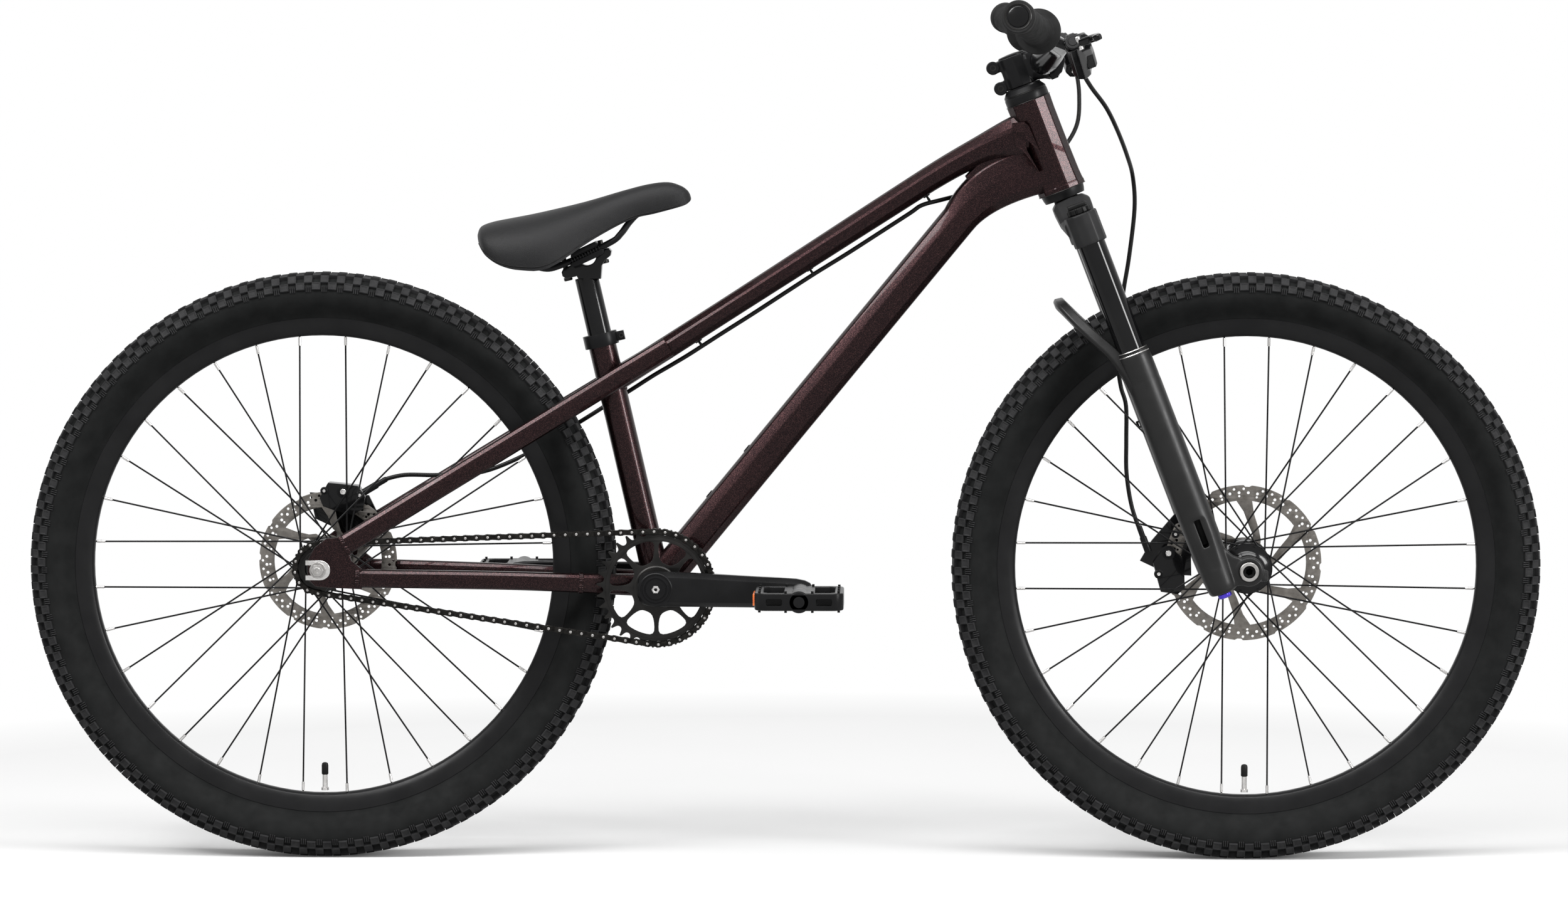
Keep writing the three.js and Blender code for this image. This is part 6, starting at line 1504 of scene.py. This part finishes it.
def headset():
    upper = ringed("upper_cup", [(14.6, 109.2), (25.0, 109.2), (25.3, 110), (25.3, 116.6), (24.6, 119.0),
                                 (14.6, 119.0)], 72)
    lower = ringed("lower_cup", [(14.6, -0.3), (25.4, -0.3), (25.4, -1.2), (24.6, -5.6), (23.4, -9.6),
                                 (14.6, -9.6)], 72)
    cap = ringed("top_cone", [(14.6, 119.35), (24.6, 119.35), (25.0, 120.2), (21.8, 124.6), (21.0, 125.6),
                              (21.0, 127.3), (14.6, 127.3)], 72)
    rings = joined("headset_rings", [thin_ring("headset_ring", radius, 2, z, 0.35, 0.25)
                                     for z, radius in ((109.0, 26.4), (119.2, 25.0), (-0.1, 28.2))])
    finished(apply_place(upper, head), "frame", "black_metal", satin_black, "headset_cup_upper")
    finished(apply_place(lower, head), "frame", "black_metal", satin_black, "headset_cup_lower")
    finished(apply_place(cap, head), "steering", "black_metal", satin_black, "headset_top_cap")
    finished(apply_place(rings, head), "frame", "steel", ring_black)


# The round eyes of the two pinch bolts behind the steerer.
def stem_eyes():
    profile = [(0, -12.2), (6.6, -12.2), (7.6, -11.2), (7.6, 11.2), (6.6, 12.2), (0, 12.2)]
    eyes = [apply_place(turned("stem_eye", profile, 32, "Y", 25), shift(-24.5, 0, stem_middle + dz))
            for dz in (-12.5, 12.5)]
    return apply_place(joined("stem_eyes", eyes), head)


def stem_bolts():
    heads = [apply_place(bolt("stem_bolt", 4.4, 3.4),
                         shift(-24.5, side * 12.4, stem_middle + dz) @ spun(-90 * side, "X"))
             for dz in (-12.5, 12.5) for side in (-1, 1)]
    heads += [apply_place(bolt("face_bolt", 3.4, 3.0),
                          shift(stem_reach + 10.6, y, stem_middle + dz) @ spun(90, "Y"))
              for y in (-19.5, 19.5) for dz in (-18.6, 18.6)]
    return apply_place(joined("stem_bolts", heads), head)


def steerer_cap():
    return apply_place(turned("steerer_cap",
                              [(0, 164.2), (3.0, 164.2), (3.2, 165.9), (4.6, 166.4), (14.4, 165.6),
                               (15.6, 164.6), (15.6, 163.7), (0, 163.7)], 48), head)


def lever_blade():
    stations = [(lever_pivot.x, lever_pivot.y - 1.7, lever_pivot.z, 7.8, 9)]
    for out, ahead, size in ((0.06, 0.35, 1), (0.16, 0.72, 1), (0.42, 1, 0.9), (0.72, 0.82, 0.8),
                             (0.94, 0.8, 0.85), (1, 1.05, 0.7)):
        stations.append((lever_pivot.x + ahead * 21, lever_pivot.y + out * 86, lever_pivot.z, 7.8 * size,
                         9 * size))
    blade = swept("lever_blade_skin", smooth_path(stations, 5), oval(1, 1, 24, 2.6), across=(1, 0, 0),
                  angle=40)
    return apply_place(blade, head)


# The adjuster at the cylinder's outer end.
def lever_end():
    end = turned("lever_end", [(0, 1.2), (5.2, 1.2), (5.8, 0.6), (8.6, 0.6), (9.4, -0.4), (9.6, -2.2),
                               (0, -2.2)], 32, angle=25)
    return apply_place(end, head @ shift(*lever_outer) @ aimed((lever_outer - lever_inner).normalized()))


# The hose nut at the cylinder's inner end, the blade's pivot and the clamp's bolt.
def lever_small_parts():
    nut = turned("hose_nut", [(0, -5.5), (3.6, -5.5), (4.4, -4.6), (4.4, -0.4), (0, -0.4)], 6, angle=20)
    apply_place(nut, shift(*lever_inner) @ aimed((lever_outer - lever_inner).normalized()))
    pivot = turned("lever_pivot", [(0, -7.6), (2.6, -7.6), (3.0, -7.0), (3.0, 7.0), (2.6, 7.6), (0, 7.6)],
                   20, angle=25)
    apply_place(pivot, shift(*lever_pivot))
    clamp = apply_place(bolt("lever_clamp_bolt", 2.8, 2.4),
                        shift(*(on_bar(202) + Vector((13.5, 0, -9)))) @ spun(120, "Y"))
    return apply_place(joined("lever_small_parts", [nut, pivot, clamp]), head)


headset()
for node in ("stem", "stem_faceplate"):
    finished(cast(refined(node + "_skin", node), 0.8, 5, 0.5), "steering", "black_metal", satin_black, node)
finished(stem_eyes(), "steering", "black_metal", satin_black)
finished(stem_bolts(), "steering", "black_metal", ring_black)
finished(steerer_cap(), "steering", "black_metal", satin_black)
finished(handlebar(), "steering", "bar_black", gloss_black, "handlebar")
both_sides(grip(), "grip_skin", "steering", "grip_rubber", grip_black, "grip_{}")
both_sides(grip_plug(), "grip_plug", "steering", "black_metal", gloss_black)
both_sides(plug_ring(), "grip_plug_ring", "steering", "black_metal", ring_black)
both_sides(cast(refined("lever_body_skin", "lever_body_left"), 0.8, 4, 0.5), "lever_body_skin", "steering",
           "brake_black", gloss_black, "lever_body_{}")
both_sides(lever_blade(), "lever_blade_skin", "brake_lever_{}", "brake_black", gloss_black, "brake_lever_{}")
both_sides(lever_small_parts(), "lever_small_parts", "steering", "steel", bright_steel)
both_sides(lever_end(), "lever_cylinder_end", "steering", "brake_black", satin_black)


# Seat

saddle_length = 247.0
saddle_half = 67
saddle_slope = 13
# Each place of the rails and of the cover, as shares of those sizes, from the nose and from the tail
rail_places = [
    (0.4, 0.262, 0), (0.39, 0.262, 0.12), (0.31, 0.243, 0.24), (0.235, 0.212, 0.3), (0.19, 0.17, 0.37),
    (0.15, 0.117, 0.47), (0.1, 0.0765, 0.5), (-0.1, -0.0165, 0.5), (-0.2, -0.04, 0.56), (-0.29, 0.01, 0.7),
    (-0.36, 0.14, 0.8)]
saddle_places = [
    (0, 0.5, 0.86, 0.68), (0.022, 0.8, 0.96, 0.48), (0.08, 0.95, 0.99, 0.26), (0.17, 1, 0.98, 0.1),
    (0.3, 0.96, 0.965, 0.03), (0.51, 0.6, 0.97, 0.31), (0.7, 0.36, 1.01, 0.5), (0.82, 0.31, 1.02, 0.51),
    (0.91, 0.28, 0.98, 0.52), (0.965, 0.21, 0.87, 0.535), (0.99, 0.12, 0.77, 0.575),
    (0.998, 0.04, 0.69, 0.62),
]


def saddle_place(piece):
    return apply_place(piece, Matrix.Translation(tilt_axle) @ spun(-saddle_slope, "Y") @ shift(-116))


def saddle_fall(share):
    return 1 - max(1 - abs(share) ** 2.6, 0) ** 0.402


# The saddle's padded cover, wrapped over a thin base: from tail to nose, each ring runs over the top
# from one skirt to the other and back inside the base.
def saddle():
    shares = [math.sin(math.pi / 2 * (i / 16 - 1)) for i in range(33)]
    rings = []
    for along, *sizes in smooth_path(saddle_places, 4):
        half, crest, bottom = (size * saddle_half for size in sizes)
        wall = min(13, (crest - bottom) * 0.55, half * 0.55)
        outer = [(share * half, crest - (crest - bottom) * saddle_fall(share)) for share in shares]
        inner = [(share * (half - wall * 0.6),
                  crest - wall - (crest - bottom - wall) * saddle_fall(share) * 0.99)
                 for share in shares[-2:0:-2]]
        rings.append([(along * saddle_length, y, z) for y, z in outer + inner])
    return saddle_place(skinned("saddle_cover", rings, 60))


# The seam low on the cover's skirt, round the tail and along both sides.
def saddle_seam():
    right = [Vector((along * saddle_length, across * saddle_half + 0.1,
                     (top - (top - skirt) * 0.93) * saddle_half)) * MM
             for along, across, top, skirt in smooth_path(saddle_places, 6) if along < 0.95]
    path = right + [Vector((point.x, -point.y, point.z)) for point in right[::-1]]
    return saddle_place(rod("saddle_seam", path, 0.55, 8))


def saddle_rails():
    left = [(x * saddle_length, y * 44, z * saddle_length) for x, z, y in rail_places]
    whole = [(x, -y, z) for x, y, z in left[::-1]] + left[1:]
    return rod("saddle_rails_skin", [Vector(point) * MM + tilt_axle for point in smooth_path(whole, 8)],
               3.5, 20)


# The post's head: a cradle open upwards like a U, with an ear before and behind for its two bolts.
def cradle():
    outline = [(-209.5, 667), (-235.5, 667), (-237, 670), (-243, 668.5), (-250, 667.5), (-253.5, 670),
               (-254.5, 674.5), (-252.5, 678.5), (-246, 681.5), (-240, 685),
               *arc_points(11.3, math.radians(190), math.radians(352), 15, (-226, 693.5)),
               (-212, 697.5), (-206, 701.5), (-200.5, 702), (-197.5, 698.5), (-198.5, 693.5), (-204.5, 688.5),
               (-208.5, 682)]
    return plate("cradle", outline, 27, (), 1.2, 0, 2)


def cradle_bolts():
    profile = [(0, -2.2), (4.4, -2.2), (5.0, -1.4), (5.0, 1.6), (3.0, 2.2), (3.0, 25), (0, 25)]
    return joined("cradle_bolts", [
        apply_place(turned("cradle_bolt", profile, 24, angle=25),
                    shift(x, 0, z) @ aimed(sloped(90 + saddle_slope)))
        for x, z in ((-205.5, 686.5), (-247.5, 666.5))])


def seatpost():
    post = ringed("post", [(11.5, 169), (13.2, 169), (13.6, 169.6), (13.6, 362), (13.2, 363), (11.5, 363)],
                  64)
    return joined("seatpost_skin", [apply_place(post, seat), cradle()])


# Two plates that grip the rails, one above and one below, each ribbed across like a file.
def saddle_clamp():
    lower = [(-21, -1.2), (-19, -5.2), (-9, -6.2), (9, -6.2), (19, -5.2), (21, -1.2), (19, 0.6), (-19, 0.6)]
    upper = [(-17, 6.4), (-15, 4.2), (15, 4.2), (17, 6.4), (15, 10.6), (-15, 10.6)]
    pieces = [plate("rail_clamp", lower, 54, (), 1.0, 0, 2), plate("rail_clamp", upper, 50, (), 1.0, 0, 2)]
    pieces += [block("clamp_rib", (1.4, 55, 5), (i * 3.4 - 17, 0, 2.6), 0.4, 1) for i in range(11)]
    return apply_place(joined("saddle_clamp_skin", pieces),
                       Matrix.Translation(tilt_axle) @ spun(-25, "Y") @ shift(1, 0, 4.5))


finished(seatpost(), "seatpost", "black_metal", gloss_black, "seatpost")
finished(refined("seat_clamp_skin", "seat_clamp", 0.9, 2, 40), "frame", "black_metal", satin_black,
         "seat_clamp")
collar_place = Matrix.Translation(seat @ Vector((24 * MM, -7.4 * MM, 288.8 * MM)))
finished(apply_place(bolt("collar_bolt", 3.4, 3.0), collar_place @ spun(90, "X")), "frame", "steel",
         ring_black)
finished(saddle_clamp(), "saddle", "black_metal", satin_black, "saddle_clamp")
finished(cradle_bolts(), "seatpost", "black_metal", ring_black)
finished(saddle_rails(), "saddle", "rail_steel", satin_black, "saddle_rails")
finished(saddle(), "saddle", "saddle_cover", saddle_black, "saddle")
finished(saddle_seam(), "saddle", "saddle_cover", plastic_black)
